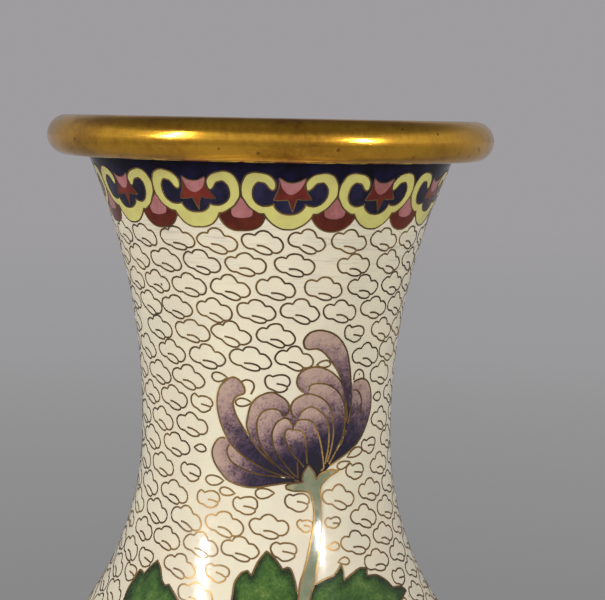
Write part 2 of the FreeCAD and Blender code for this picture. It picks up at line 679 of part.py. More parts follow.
stem_faces = [cell_face(outline) for outline in stem]
bloom_faces = [cell_face(outline) for outline in bloom_petals]
drawing = WireDrawing()
stem_wires = covered_wires(drawing, stem)
bud_wires = covered_wires(drawing, bud_petals, stem_faces)
back_drawing = WireDrawing()
back_drawing.laid = list(drawing.laid)
bloom_wires = covered_wires(drawing, bloom_petals, stem_faces)
leaf_wires = covered_wires(drawing, leaves, stem_faces + bloom_faces)
back_leaf_wires = covered_wires(back_drawing, leaves, stem_faces)
add_cells("stem_wires", stem_wires + turned_to(stem_wires, 180))
add_cells("petal_wires", bud_wires + bloom_wires + turned_to(bud_wires, 180))
add_cells("leaf_wires", leaf_wires + turned_to(back_leaf_wires, 180))

# ---------------------------------------------------------------- border above the foot ring
border_step = 360 / size("border_count")
foot_sector = layer(*ENAMEL, "belly", "foot", 0, border_step)
border_slice = foot_sector.common(slab(0, size("border_top")))
lappet_side = [(4.4, 8), (4.5, 12), (3.2, 15.5), (0, 18)]
lappet_lines = [[(-4.4, 8), (4.4, 8)], lappet_side, mirrored(lappet_side)]
lappet_prism = prisms([cell_face(lappet_lines)])
border_count = int(size("border_count"))
add_cells("border_enamel", around(solids(border_slice.cut(lappet_prism)), border_count, 0))
add_cells("border_lappets", around(solids(border_slice.common(lappet_prism)), border_count, 0))
RAIL_HALF = 6
rail_line = [(x, size("border_top")) for x in (-RAIL_HALF, 0, RAIL_HALF)]
add_cells("border_wires", around(WireDrawing().lay(lappet_lines + [rail_line]), border_count, 0))

# ---------------------------------------------------------------- ivory ground
# its seam lies at the side, clear of the sprays
ground = layer(*ENAMEL, "lip", "foot", centre=90).common(slab(size("border_top"), size("band_bottom")))
front_tools = stem_tools + bud_tools + leaf_tools + bloom_tools
back_tools = turned_to(stem_tools + bud_tools + leaf_tools, 180)
add_cells("ground_enamel", solids(ground.cut(front_tools + back_tools)) + ivory_band)

# ---------------------------------------------------------------- cloud wires on the neck
# One wire draws each small cloud: a curled tail, then five lobes.
cloud_path = [(-0.7, -0.5), (0.9, -1.0), (1.7, -1.5), (1.4, -2.1), (0.1, -2.33), (-1.8, -1.5), (-3.2, -1.1),
              (-3.65, 0.1), (-2.7, 1.15), (-1.5, 1.3), (-1.0, 2.1), (0.05, 2.38), (1.0, 2.1), (1.6, 1.25),
              (3.1, 1.0), (3.7, 0.0), (3.2, -1.1), (2.4, -1.5)]
CLOUD_REACH = 4.4
SPRAY_REACH = 70
spray_front = Part.makeCompound([cell_face(item) for item in stem + bud_petals + leaves])


def free_of_sprays(angle, height):
    """True where a cloud clears the sprays on the front and the back."""
    turn = (angle + 90) % 180 - 90
    if abs(turn) > SPRAY_REACH:
        return True
    place = Vector(wall_radius(height) * math.sin(math.radians(turn)), 0, height)
    return spray_front.distToShape(Part.Vertex(place))[0] > CLOUD_REACH


clouds = []
for row in range(int(size("cloud_rows"))):
    height = size("cloud_top_row") - row * size("cloud_row_pitch")
    row_count = round(2 * math.pi * wall_radius(height) / size("cloud_pitch"))
    path = [(x, height + z) for x, z in cloud_path]
    cloud = [wire_strip(path, WIRE_WIDTH)]
    for index in range(row_count):
        angle = (index + 0.5 * (row % 2)) * 360 / row_count
        if free_of_sprays(angle, height):
            clouds += turned_to(cloud, angle)
add_cells("cloud_wires", clouds)

# ---------------------------------------------------------------- checks and files
doc.recompute()
for item in doc.Objects:
    if "Invalid" in item.State or "Error" in item.State:
        raise RuntimeError(f"{item.Name} failed: {item.State}")
for part in SUB_PARTS:
    if part.Shape.isNull() or not part.Shape.isValid() or not part.Shape.Solids:
        raise RuntimeError(f"{part.Label} has no valid solid")
os.makedirs("parts", exist_ok=True)
for part in SUB_PARTS:
    part.Shape.exportStep(f"parts/{part.Label}.step")
    print(part.Label, len(part.Shape.Solids), round(part.Shape.Volume, 1))
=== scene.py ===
import math
import random
from itertools import groupby

import bpy
from mathutils import Matrix, Vector
from mathutils.geometry import delaunay_2d_cdt


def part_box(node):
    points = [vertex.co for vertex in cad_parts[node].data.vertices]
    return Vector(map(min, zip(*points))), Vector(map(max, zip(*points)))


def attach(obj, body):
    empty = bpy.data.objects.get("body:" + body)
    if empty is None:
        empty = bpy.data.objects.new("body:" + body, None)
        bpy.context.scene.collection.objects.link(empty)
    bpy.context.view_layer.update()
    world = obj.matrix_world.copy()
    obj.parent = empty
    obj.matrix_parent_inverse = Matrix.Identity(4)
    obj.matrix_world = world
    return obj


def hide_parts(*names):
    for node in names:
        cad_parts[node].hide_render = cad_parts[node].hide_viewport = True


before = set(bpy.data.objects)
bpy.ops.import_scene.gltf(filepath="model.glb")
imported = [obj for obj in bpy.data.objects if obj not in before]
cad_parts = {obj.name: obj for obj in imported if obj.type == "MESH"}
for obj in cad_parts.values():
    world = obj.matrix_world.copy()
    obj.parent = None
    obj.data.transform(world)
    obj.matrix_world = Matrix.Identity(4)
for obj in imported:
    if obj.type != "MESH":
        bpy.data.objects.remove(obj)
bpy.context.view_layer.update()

# Cloisonne vase. Drawings are in mm on the wall: x to the right and z up, as seen from the front,
# or degrees round the vase and z. Meshes are in metres, in the CAD frame; the front faces -Y.
MM = 0.001
random.seed(20)

# ---------------------------------------------------------------- sizes, in mm
NECK_R, WAIST_TOP, WAIST_BOTTOM = 26.6, 187.0, 184.0
FLARE_R, LOWER_NECK_R = 136.3, 70.0
SLOPE = math.radians(45)
FOOT_SLOPE = math.radians(35)
LOWER_BELLY_R, FOOT_R = 130.0, 14.0
RING_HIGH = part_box("mouth_ring")[1].z / MM
MOUTH_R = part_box("mouth_ring")[1].x / MM
BELLY_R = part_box("ground_enamel")[1].x / MM
FOOT_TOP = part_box("foot_ring")[1].z / MM
FOOT_RING_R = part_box("foot_ring")[1].x / MM
LIP = 242.0
COLLAR_BOTTOM = 233.0
BORDER_TOP = 20.0
# faces of the wall's layers, measured outward from the face of the ivory
ENAMEL_BACK, LINING_BACK, LINING_FACE = -0.9, -1.85, -2.4
INLAY_FACE, INLAY_BACK = 0.012, -0.5
CELL_LOW = -0.25
GRID, FINE_GRID = 0.9, 0.8
WIRE_LOW, WIRE_HIGH = -0.12, 0.05
WIRE, SPRAY_WIRE, CLOUD_WIRE = 0.4, 0.45, 0.47
# mouth ring: rounded outer bead, domed top, eased edge at the bore
MOUTH_BEAD, MOUTH_BORE_R, MOUTH_SEAT_R = 4.1, 35.4, 38.7
MOUTH_EDGE_R, MOUTH_EDGE_DROP = 1.9, 1.1
FOOT_BORE_R, FOOT_EASE = 35.0, 0.4

# ---------------------------------------------------------------- wall profile
slope_r = NECK_R + LOWER_NECK_R * (1 - math.cos(SLOPE))
slope_z = WAIST_BOTTOM - LOWER_NECK_R * math.sin(SLOPE)
shoulder_radius = (BELLY_R - slope_r) / (1 - math.cos(SLOPE))
belly_z = slope_z - shoulder_radius * math.sin(SLOPE)
foot_x = BELLY_R - LOWER_BELLY_R + (LOWER_BELLY_R + FOOT_R) * math.cos(FOOT_SLOPE)
foot_z = belly_z - (LOWER_BELLY_R + FOOT_R) * math.sin(FOOT_SLOPE)
foot_join_z = belly_z - LOWER_BELLY_R * math.sin(FOOT_SLOPE)

# lowest height, centre radius, centre height, arc radius, and +1 for a full arc, -1 for a hollow
# one or 0 for the straight waist
ARCS = [
    (WAIST_TOP, NECK_R + FLARE_R, WAIST_TOP, FLARE_R, -1),
    (WAIST_BOTTOM, None, None, None, 0),
    (slope_z, NECK_R + LOWER_NECK_R, WAIST_BOTTOM, LOWER_NECK_R, -1),
    (belly_z, BELLY_R - shoulder_radius, belly_z, shoulder_radius, 1),
    (foot_join_z, BELLY_R - LOWER_BELLY_R, belly_z, LOWER_BELLY_R, 1),
    (-100.0, foot_x, foot_z, FOOT_R, -1),
]


def wall_at(z):
    """Radius of the enamel's face at a height, and its outward normal (out, up)."""
    for floor, centre_r, centre_z, radius, kind in ARCS:
        if z >= floor:
            break
    if kind == 0:
        return NECK_R, (1.0, 0.0)
    rise = z - centre_z
    run = math.sqrt(max(radius * radius - rise * rise, 1e-9))
    return centre_r + kind * run, (run / radius, kind * rise / radius)


def wall_point(turn, z, proud=0.0):
    """Point on the wall in metres; turn in radians from the front, proud in mm."""
    r, (out, up) = wall_at(z)
    reach = r + out * proud
    return Vector((reach * math.sin(turn), -reach * math.cos(turn), z + up * proud)) * MM


def wall_normal(turn, z):
    out, up = wall_at(z)[1]
    return Vector((out * math.sin(turn), -out * math.cos(turn), up))


# distance along the wall from the lip, for patterns that run down it
ARC_STEP = 0.25
arc_heights = [LIP]
while arc_heights[-1] > FOOT_TOP:
    upright = abs(wall_at(arc_heights[-1])[1][0])
    arc_heights.append(arc_heights[-1] - ARC_STEP * upright)


def height_down(distance):
    """Height of the place a distance down the wall from the lip."""
    place = min(max(distance / ARC_STEP, 0), len(arc_heights) - 1.001)
    low = int(place)
    return arc_heights[low] + (place - low) * (arc_heights[low + 1] - arc_heights[low])


def distance_down(z):
    low, high = 0.0, ARC_STEP * (len(arc_heights) - 1)
    while high - low > 0.01:
        middle = (low + high) / 2
        if height_down(middle) > z:
            low = middle
        else:
            high = middle
    return low


def wrapped(turn):
    """The same turn between half a turn back and half a turn on."""
    return (turn + math.pi) % (2 * math.pi) - math.pi


def front(azimuth):
    """Map from a drawing seen square on at an azimuth to (turn, z)."""
    def place(x, z):
        r = wall_at(z)[0]
        return azimuth + math.asin(max(-0.999, min(0.999, x / r))), z
    return place


def band(azimuth):
    """Map from degrees round the vase and height to (turn, z)."""
    return lambda angle, z: (azimuth + math.radians(angle), z)


def tile(azimuth, distance, spin=0.0, scale=1.0):
    """Map from mm about a place on the wall to (turn, z)."""
    r = wall_at(height_down(distance))[0]
    cos, sin = math.cos(spin) * scale, math.sin(spin) * scale
    return lambda x, y: (azimuth + (x * cos - y * sin) / r, height_down(distance - (x * sin + y * cos)))


# ---------------------------------------------------------------- lines
def beyond(a, b):
    """Point as far past b as a is before it."""
    return 2 * b[0] - a[0], 2 * b[1] - a[1]


def smooth(points, step=0.35, closed=False):
    """Catmull-Rom curve through points, sampled about every step."""
    if closed:
        ring = [points[-1], *points, *points[:2]]
    else:
        ring = [beyond(points[1], points[0]), *points, beyond(points[-2], points[-1])]
    line = []
    for a, b, c, d in zip(ring, ring[1:], ring[2:], ring[3:]):
        parts = max(1, round(math.hypot(c[0] - b[0], c[1] - b[1]) / step))
        for i in range(parts):
            t = i / parts
            line.append(tuple(
                0.5 * (2 * b[k] + (c[k] - a[k]) * t + (2 * a[k] - 5 * b[k] + 4 * c[k] - d[k]) * t * t
                       + (3 * b[k] - a[k] - 3 * c[k] + d[k]) * t ** 3) for k in (0, 1)))
    if not closed:
        line.append(tuple(points[-1]))
    return line


def chain(start, *parts):
    """Strands that follow one another; each part leaves out its first point, where the last one ended."""
    strands = []
    for part in parts:
        strands.append([start, *part])
        start = part[-1]
    return strands


def circuit(*parts):
    """Chain that starts where it ends."""
    return chain(parts[-1][-1], *parts)


def loop(strands, step=0.35):
    """Closed outline from strands that follow one another, sampled about every step."""
    outline = []
    for strand in strands:
        whole = strand[0] == strand[-1]
        outline += smooth(strand[:-1], step, True) if whole else smooth(strand, step)[:-1]
    return outline


def inside(x, y, outline):
    odd = False
    for (x0, y0), (x1, y1) in zip(outline, outline[1:] + outline[:1]):
        if (y0 > y) != (y1 > y) and x < (x1 - x0) * (y - y0) / (y1 - y0) + x0:
            odd = not odd
    return odd


def mirrored(points):
    return [(-x, y) for x, y in reversed(points)]


def moved(line, dx, dy, size=1.0):
    return [(dx + x * size, dy + y * size) for x, y in line]


def edges_of(outline):
    """Left, right, low and high edge of an outline."""
    xs, ys = [p[0] for p in outline], [p[1] for p in outline]
    return min(xs), max(xs), min(ys), max(ys)


# ---------------------------------------------------------------- meshes
def added(name, data):
    """Object in the scene for a mesh, lamp or camera."""
    item = bpy.data.objects.new(name, data)
    bpy.context.scene.collection.objects.link(item)
    return item


class Piece:
    """One mesh gathered from many closed shells, with a shade and a tint for each corner point."""

    def __init__(self, name):
        self.name, self.points, self.faces = name, [], []
        self.shade, self.tint = [], []

    def shell(self, points, faces, shades=None, tint=0.5):
        base = len(self.points)
        self.points += points
        self.faces += [tuple(base + i for i in face) for face in faces]
        self.shade += shades or [0.0] * len(points)
        self.tint += [tint] * len(points)

    def build(self, material, node, slot, sharp_angle=35):
        mesh = bpy.data.meshes.new(self.name)
        mesh.from_pydata([tuple(p) for p in self.points], [], self.faces)
        for name, values in (("shade", self.shade), ("tint", self.tint)):
            layer = mesh.attributes.new(name, "FLOAT", "POINT")
            layer.data.foreach_set("value", values)
        mesh.polygons.foreach_set("use_smooth", [True] * len(mesh.polygons))
        mesh.set_sharp_from_angle(angle=math.radians(sharp_angle))
        mesh.materials.append(material)
        mesh.update()
        piece = added(self.name, mesh)
        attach(piece, "root")
        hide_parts(node)


def cell(piece, outline, place, proud, grid=GRID, shade=None, tint=0.5):
    """Closed flat-topped cell of enamel that follows the wall inside an outline."""
    left, right, low, high = edges_of(outline)
    apart = grid * 0.45
    seeds = list(outline)
    for row in range(1, int((high - low) / grid) + 1):
        y = low + row * grid
        x = left + grid * (0.75 if row % 2 else 0.25)
        while x < right:
            if inside(x, y, outline) and all(abs(x - a) > apart or abs(y - b) > apart for a, b in outline):
                seeds.append((x, y))
            x += grid
    edges = [(i, (i + 1) % len(outline)) for i in range(len(outline))]
    flat, _, faces = delaunay_2d_cdt([Vector(p) for p in seeds], edges, [], 0, 1e-5)[:3]
    keep = []
    for face in faces:
        x = sum(flat[i][0] for i in face) / len(face)
        y = sum(flat[i][1] for i in face) / len(face)
        if inside(x, y, outline):
            keep.append(face)
    used = sorted({i for face in keep for i in face})
    number = {old: new for new, old in enumerate(used)}
    spots = [(flat[i][0], flat[i][1]) for i in used]
    top = [wall_point(*place(*spot), proud) for spot in spots]
    bottom = [wall_point(*place(*spot), CELL_LOW) for spot in spots]
    top_faces = [tuple(number[i] for i in face) for face in keep]
    size = len(spots)
    bottom_faces = [tuple(i + size for i in reversed(face)) for face in top_faces]
    sides = dict.fromkeys(side for face in top_faces for side in zip(face, face[1:] + face[:1]))
    side_faces = [(b, a, a + size, b + size) for a, b in sides if (b, a) not in sides]
    shades = [shade(*spot) if shade else 0.0 for spot in spots] * 2
    piece.shell(top + bottom, top_faces + bottom_faces + side_faces, shades, tint)


def wire(piece, line, place, width=WIRE, high=WIRE_HIGH, closed=False, tint=0.5):
    """Closed flat wire along a line on the wall, its top edges eased."""
    spots = [place(*spot) for spot in line]
    centre = [wall_point(*spot) for spot in spots]
    normals = [wall_normal(*spot) for spot in spots]
    total = len(spots)
    points = []
    for i in range(total):
        if closed:
            run = centre[(i + 1) % total] - centre[i - 1]
        else:
            run = centre[min(i + 1, total - 1)] - centre[max(i - 1, 0)]
        side = run.cross(normals[i]).normalized() * (width / 2 * MM)
        up = normals[i] * MM
        points += [centre[i] - side + up * WIRE_LOW, centre[i] + side + up * WIRE_LOW,
                   centre[i] + side * 0.75 + up * high, centre[i] - side * 0.75 + up * high]
    faces = []
    for i in range(total if closed else total - 1):
        a, b = 4 * i, 4 * ((i + 1) % total)
        faces += [(a + k, b + k, b + (k + 1) % 4, a + (k + 1) % 4) for k in range(4)]
    if not closed:
        faces += [(0, 1, 2, 3), (4 * total - 1, 4 * total - 2, 4 * total - 3, 4 * total - 4)]
    piece.shell(points, faces, tint=tint)


def free_runs(line, covers, laid, gap):
    """Stretches of a line outside the nearer cells and clear of wires already laid."""
    def hidden(spot):
        x, y = spot
        return (any(inside(x, y, cover) for cover in covers)
                or any(abs(x - a) < gap and abs(y - b) < gap for a, b in laid))
    runs = [list(run) for under, run in groupby(line, hidden) if not under]
    return [run for run in runs if len(run) > 2]


def spun(outline, segments, closed=True):
    """Points and faces of an outline of (radius, z) spun once round the axis."""
    points, faces, rings = [], [], []
    for r, z in outline:
        if r == 0:
            rings.append([len(points)] * segments)
            points.append(Vector((0, 0, z)) * MM)
            continue
        rings.append(range(len(points), len(points) + segments))
        for k in range(segments):
            turn = 2 * math.pi * k / segments
            points.append(Vector((r * math.sin(turn), -r * math.cos(turn), z)) * MM)
    following = rings[1:] + rings[:1] if closed else rings[1:]
    for ring, other in zip(rings, following):
        for k in range(segments):
            m = (k + 1) % segments
            face = dict.fromkeys((other[k], other[m], ring[m], ring[k]))
            if len(face) > 2:
                faces.append(tuple(face))
    return points, faces


def turned(name, outline, segments, material, node, slot):
    """Piece of revolution from a closed outline of (radius, z)."""
    piece = Piece(name)
    piece.shell(*spun(outline, segments))
    piece.build(material, node, slot, sharp_angle=30)


def arc_points(centre, radius, start, end, parts):
    """Points of an arc in the (radius, z) plane; angles in degrees from outward, up positive."""
    return [(centre[0] + radius * math.cos(math.radians(start + (end - start) * i / parts)),
             centre[1] + radius * math.sin(math.radians(start + (end - start) * i / parts)))
            for i in range(parts + 1)]


# ---------------------------------------------------------------- materials
class Paint:
    """Node material; every pattern is in the object's own metres."""

    def __init__(self, name):
        self.material = bpy.data.materials.new(name)
        self.material.use_nodes = True
        self.tree = self.material.node_tree
        self.shader = self.tree.nodes["Principled BSDF"]
        self.place = self.tree.nodes.new("ShaderNodeTexCoord").outputs["Object"]

    def node(self, kind, inputs=None, **settings):
        made = self.tree.nodes.new(kind)
        for key, value in settings.items():
            setattr(made, key, value)
        for key, value in (inputs or {}).items():
            self.put(made.inputs[key], value)
        return made

    def put(self, socket, value):
        if isinstance(value, bpy.types.NodeSocket):
            self.tree.links.new(value, socket)
        else:
            socket.default_value = value

    def set(self, **inputs):
        for key, value in inputs.items():
            self.put(self.shader.inputs[key.replace("_", " ")], value)

    def noise(self, scale, detail=3.0, rough=0.5, warp=0.0, where=None):
        inputs = {"Vector": where or self.place, "Scale": scale, "Detail": detail, "Roughness": rough,
                  "Distortion": warp}
        return self.node("ShaderNodeTexNoise", inputs).outputs["Fac"]

    def math(self, operation, a, b=0.0, clamp=False):
        return self.node("ShaderNodeMath", {0: a, 1: b}, operation=operation, use_clamp=clamp).outputs[0]

    def add(self, a, b, clamp=False):
        return self.math("ADD", a, b, clamp)

    def times(self, a, b):
        return self.math("MULTIPLY", a, b)

    def range(self, value, low, high, to_low=0.0, to_high=1.0):
        inputs = {"Value": value, "From Min": low, "From Max": high, "To Min": to_low, "To Max": to_high}
        return self.node("ShaderNodeMapRange", inputs).outputs[0]

    def ramp(self, value, stops):
        made = self.node("ShaderNodeValToRGB", {"Fac": value})
        band_stops = made.color_ramp.elements
        while len(band_stops) < len(stops):
            band_stops.new(0.5)
        for element, (position, colour) in zip(band_stops, stops):
            element.position = position
            element.color = (*colour, 1)
        return made.outputs["Color"]

    def mix(self, factor, a, b, blend="MIX"):
        made = self.node("ShaderNodeMix", data_type="RGBA", blend_type=blend)
        self.put(made.inputs[0], factor)
        for socket, value in ((made.inputs[6], a), (made.inputs[7], b)):
            self.put(socket, (*value, 1) if isinstance(value, tuple) else value)
        return made.outputs[2]

    def attribute(self, name):
        return self.node("ShaderNodeAttribute", attribute_name=name).outputs["Fac"]

    def bump(self, height, strength, distance):
        inputs = {"Height": height, "Strength": strength, "Distance": distance}
        return self.node("ShaderNodeBump", inputs).outputs["Normal"]

    def stretched(self, around, up, scale, detail, rough):
        """Noise whose marks run round the vase."""
        inputs = {"Vector": self.place, "Scale": (around, around, up)}
        where = self.node("ShaderNodeMapping", inputs).outputs["Vector"]
        return self.noise(scale, detail, rough, where=where)

    def specks(self, scale, size, share):
        """1 on sparse small dots: a share of the cells of a point pattern has one."""
        made = self.node("ShaderNodeTexVoronoi", {"Vector": self.place, "Scale": scale}, feature="F1")
        dot = self.math("LESS_THAN", made.outputs["Distance"], size)
        pick = self.node("ShaderNodeSeparateColor", {"Color": made.outputs["Color"]}).outputs[0]
        return self.times(dot, self.math("LESS_THAN", pick, share))


def enamel(name, colour_of, gloss=0.085, pits=0.06, shine=0.4):
    """Fired and polished glass of some colour, with pinholes and a slightly wavy gloss."""
    paint = Paint(name)
    colour = colour_of(paint)
    pinholes = paint.specks(330, 0.11, pits)
    colour = paint.mix(paint.times(pinholes, 0.85), colour, (0.012, 0.009, 0.007))
    wave = paint.noise(260, 2.0, 0.5)
    grain = paint.noise(2600, 2.0, 0.6)
    height = paint.add(paint.times(wave, 0.8), paint.times(grain, 0.05))
    height = paint.math("SUBTRACT", height, paint.times(pinholes, 0.3))
    rough = paint.range(paint.noise(700, 3.0, 0.6), 0.35, 0.75, gloss, gloss + 0.12)
    paint.set(Base_Color=colour, Roughness=rough, IOR=1.52, Normal=paint.bump(height, 0.25, 0.00012))
    paint.set(Specular_IOR_Level=shine)
    return paint.material


def glass(name, first, second, scale, speck=None, share=0.3, **finish):
    """Enamel of one colour that drifts between two tones, with an optional fine speckle."""
    def colour_of(paint):
        drift = paint.range(paint.noise(scale, 4.0, 0.6), 0.35, 0.65)
        drift = paint.add(drift, paint.range(paint.attribute("tint"), 0, 1, -0.35, 0.35), True)
        colour = paint.mix(drift, first, second)
        if speck:
            dots = paint.range(paint.noise(2600, 2.0, 0.7), 0.62, 0.72, 0.0, share)
            colour = paint.mix(dots, colour, speck)
        return colour
    return enamel(name, colour_of, **finish)


def ivory_colour(paint):
    """White ground that drifts between two creams, faintly blushed, with streaks of darker grey near the
    collar.
    """
    drift = paint.range(paint.noise(160, 4.0, 0.6), 0.35, 0.65)
    colour = paint.mix(drift, (0.77, 0.695, 0.505), (0.71, 0.645, 0.49))
    blush = paint.range(paint.noise(60, 2.0, 0.5), 0.5, 0.7, 0.0, 0.35)
    colour = paint.mix(blush, colour, (0.73, 0.62, 0.48))
    grey_streaks = paint.stretched(40, 700, 3.2, 4.0, 0.65)
    height = paint.node("ShaderNodeSeparateXYZ", {"Vector": paint.place}).outputs["Z"]
    near_collar = paint.range(height, 0.205, 0.229)
    grey = paint.times(paint.range(grey_streaks, 0.54, 0.66, 0.0, 0.45), near_collar)
    return paint.mix(grey, colour, (0.36, 0.33, 0.29))


def petal_colour(paint):
    """Lilac tips, then a violet speckle, then near-black indigo at the root."""
    shade = paint.attribute("shade")
    speckle = paint.noise(1500, 3.0, 0.75)
    patch = paint.noise(420, 3.0, 0.6)
    value = paint.add(shade, paint.range(speckle, 0.3, 0.7, -0.13, 0.13))
    value = paint.add(value, paint.range(patch, 0.35, 0.65, -0.07, 0.07))
    colour = paint.ramp(value, [
        (0.0, (0.014, 0.010, 0.014)), (0.42, (0.017, 0.013, 0.028)), (0.56, (0.037, 0.024, 0.044)),
        (0.67, (0.086, 0.051, 0.066)), (0.78, (0.240, 0.147, 0.150)), (0.90, (0.39, 0.26, 0.215)),
        (1.0, (0.46, 0.32, 0.245))])
    dots = paint.range(paint.noise(1500, 2.0, 0.6), 0.56, 0.64, 0.0, 0.8)
    middle = paint.ramp(shade, [
        (0.25, (0, 0, 0)), (0.42, (1, 1, 1)), (0.75, (1, 1, 1)), (0.93, (0.1, 0.1, 0.1))])
    return paint.mix(paint.times(dots, middle), colour, (0.040, 0.023, 0.062))


def leaf_colour(paint):
    """Mottled greens, dark towards the edge, with yellow-green flecks."""
    shade = paint.attribute("shade")
    blotch = paint.noise(300, 4.0, 0.65)
    speckle = paint.noise(1800, 3.0, 0.7)
    value = paint.add(paint.times(blotch, 0.7), paint.times(speckle, 0.5))
    value = paint.add(value, paint.range(shade, 0.0, 1.0, -0.30, 0.02))
    colour = paint.ramp(value, [
        (0.25, (0.008, 0.014, 0.004)), (0.42, (0.016, 0.040, 0.006)), (0.58, (0.038, 0.098, 0.014)),
        (0.72, (0.080, 0.150, 0.026)), (0.88, (0.20, 0.27, 0.08))])
    flecks = paint.range(paint.noise(2900, 2.0, 0.8), 0.64, 0.74, 0.0, 0.55)
    return paint.mix(flecks, colour, (0.26, 0.29, 0.07))


def stem_colour(paint):
    """Grey-green body with a pale olive edge."""
    drift = paint.range(paint.noise(500, 3.0, 0.6), 0.35, 0.65)
    colour = paint.mix(drift, (0.17, 0.20, 0.115), (0.24, 0.235, 0.15))
    edge = paint.range(paint.attribute("shade"), 0.0, 0.35, 0.75, 0.0)
    return paint.mix(edge, colour, (0.36, 0.31, 0.17))


def gilding(name, bright, tarnish, rough):
    """Worn fire-gilding: warm gold, brown tarnish in patches, turning marks and fine scratches."""
    paint = Paint(name)
    patch = paint.noise(70, 5.0, 0.65, 0.4)
    fine = paint.noise(900, 4.0, 0.7)
    worn = paint.range(paint.add(patch, paint.times(fine, 0.35)), 0.60, 0.92)
    colour = paint.mix(worn, bright, tarnish)
    spots = paint.specks(420, 0.16, 0.22)
    colour = paint.mix(paint.times(spots, 0.6), colour, (0.10, 0.045, 0.02))
    marks = paint.stretched(60, 900, 3.0, 5.0, 0.7)
    dents = paint.noise(55, 2.0, 0.4)
    height = paint.add(paint.times(marks, 0.10), paint.times(dents, 1.3))
    gloss = paint.range(paint.add(marks, patch), 0.7, 1.3, rough, rough + 0.13)
    paint.set(Base_Color=colour, Metallic=1.0, Roughness=gloss, Normal=paint.bump(height, 0.35, 0.0006))
    paint.set(Coat_Weight=0.25, Coat_Roughness=0.06, Coat_IOR=1.45)
    return paint.material


def dark_gilt(name, bright, dark):
    """Ground-flush wire, its gilding darkened; here and there a brighter stretch."""
    paint = Paint(name)
    patch = paint.range(paint.noise(90, 3.0, 0.6), 0.42, 0.68)
    grain = paint.range(paint.noise(2200, 2.0, 0.6), 0.3, 0.7, 0.75, 1.1)
    colour = paint.mix(patch, dark, bright)
    grey = paint.node("ShaderNodeCombineColor", {0: grain, 1: grain, 2: grain}).outputs[0]
    colour = paint.mix(1.0, colour, grey, "MULTIPLY")
    paint.set(Base_Color=colour, Metallic=0.75, Roughness=paint.range(grain, 0.75, 1.1, 0.30, 0.45))
    return paint.material


def copper(name):
    """Bare spun copper with a brown bloom."""
    paint = Paint(name)
    bloom = paint.range(paint.noise(120, 5.0, 0.65), 0.4, 0.7)
    colour = paint.mix(bloom, (0.60, 0.28, 0.16), (0.24, 0.10, 0.06))
    marks = paint.stretched(20, 1400, 3.0, 3.0, 0.6)
    paint.set(Base_Color=colour, Metallic=1.0, Roughness=paint.range(bloom, 0, 1, 0.28, 0.5))
    paint.set(Normal=paint.bump(marks, 0.2, 0.0001))
    return paint.material


IVORY = enamel("ivory_enamel", ivory_colour, pits=0.035)
# collar and border navy: its near-black first tone is partly painted shade, darkened for the shadow just
# beneath the mouth ring, though it drifts at random over both bands; the cell navy keeps the lighter tones
NAVY_WITH_PAINTED_SHADE = glass("navy_enamel_painted_shade", (0.003, 0.0025, 0.005), (0.009, 0.007, 0.032), 300, pits=0.10, shine=0.12)
CELL_NAVY = glass("cell_enamel", (0.008, 0.007, 0.018), (0.020, 0.017, 0.052), 300, pits=0.10, shine=0.2)
YELLOW = glass("yellow_enamel", (0.62, 0.575, 0.165), (0.53, 0.48, 0.15), 200, (0.66, 0.62, 0.3), pits=0.08)
RED = glass("red_enamel", (0.175, 0.022, 0.012), (0.09, 0.013, 0.008), 260, (0.22, 0.05, 0.035), shine=0.25)
MAROON = glass("maroon_enamel", (0.115, 0.020, 0.009), (0.066, 0.011, 0.006), 260, (0.15, 0.04, 0.03),
               shine=0.2)
PINK = glass("pink_enamel", (0.40, 0.155, 0.155), (0.29, 0.095, 0.09), 300, (0.54, 0.31, 0.29), 0.5)
PETAL = enamel("petal_enamel", petal_colour, pits=0.07)
LEAF = enamel("leaf_enamel", leaf_colour, pits=0.05)
STEM = enamel("stem_enamel", stem_colour, pits=0.05)
LINING = glass("lining_enamel", (0.035, 0.16, 0.24), (0.02, 0.11, 0.19), 90, (0.10, 0.26, 0.32),
               gloss=0.2, pits=0.2)
GILT = gilding("worn_gilding", (0.86, 0.45, 0.042), (0.40, 0.165, 0.017), 0.12)
WIRE_GILT = dark_gilt("wire_gilt", (0.34, 0.20, 0.065), (0.125, 0.080, 0.042))
PETAL_GILT = dark_gilt("petal_wire_gilt", (0.40, 0.24, 0.065), (0.13, 0.075, 0.028))
COPPER = copper("spun_copper")

# ---------------------------------------------------------------- turned pieces
def offset_face(depth, heights):
    """Face of a wall layer, a depth out from the face of the ivory."""
    line = []
    for z in heights:
        r, (out, up) = wall_at(z)
        line.append((r + out * depth, z + up * depth))
    return line


def level(line, top, bottom):
    """Line with its ends brought to level heights."""
    return [(line[0][0], top)] + line[1:-1] + [(line[-1][0], bottom)]


def inlay(name, top, bottom, node):
    """Navy band let into the ivory, a hair proud of it."""
    step = 0.5
    heights = [top - step * i for i in range(int((top - bottom) / step) + 1)]
    outline = offset_face(INLAY_FACE, heights)[::-1] + offset_face(INLAY_BACK, heights)
    # the band's navy carries painted shade in its darker tone
    turned(name, outline, 360, NAVY_WITH_PAINTED_SHADE, node, "navy")


wall_heights = arc_heights[::4]
heights = wall_heights + [FOOT_TOP]
enamel_back = level(offset_face(ENAMEL_BACK, heights), LIP, FOOT_TOP)
turned("ground", offset_face(0, heights)[::-1] + enamel_back, 360, IVORY, "ground_enamel", "ivory")
inlay("collar", LIP, COLLAR_BOTTOM, "collar_enamel")
inlay("border", BORDER_TOP, FOOT_TOP, "border_enamel")

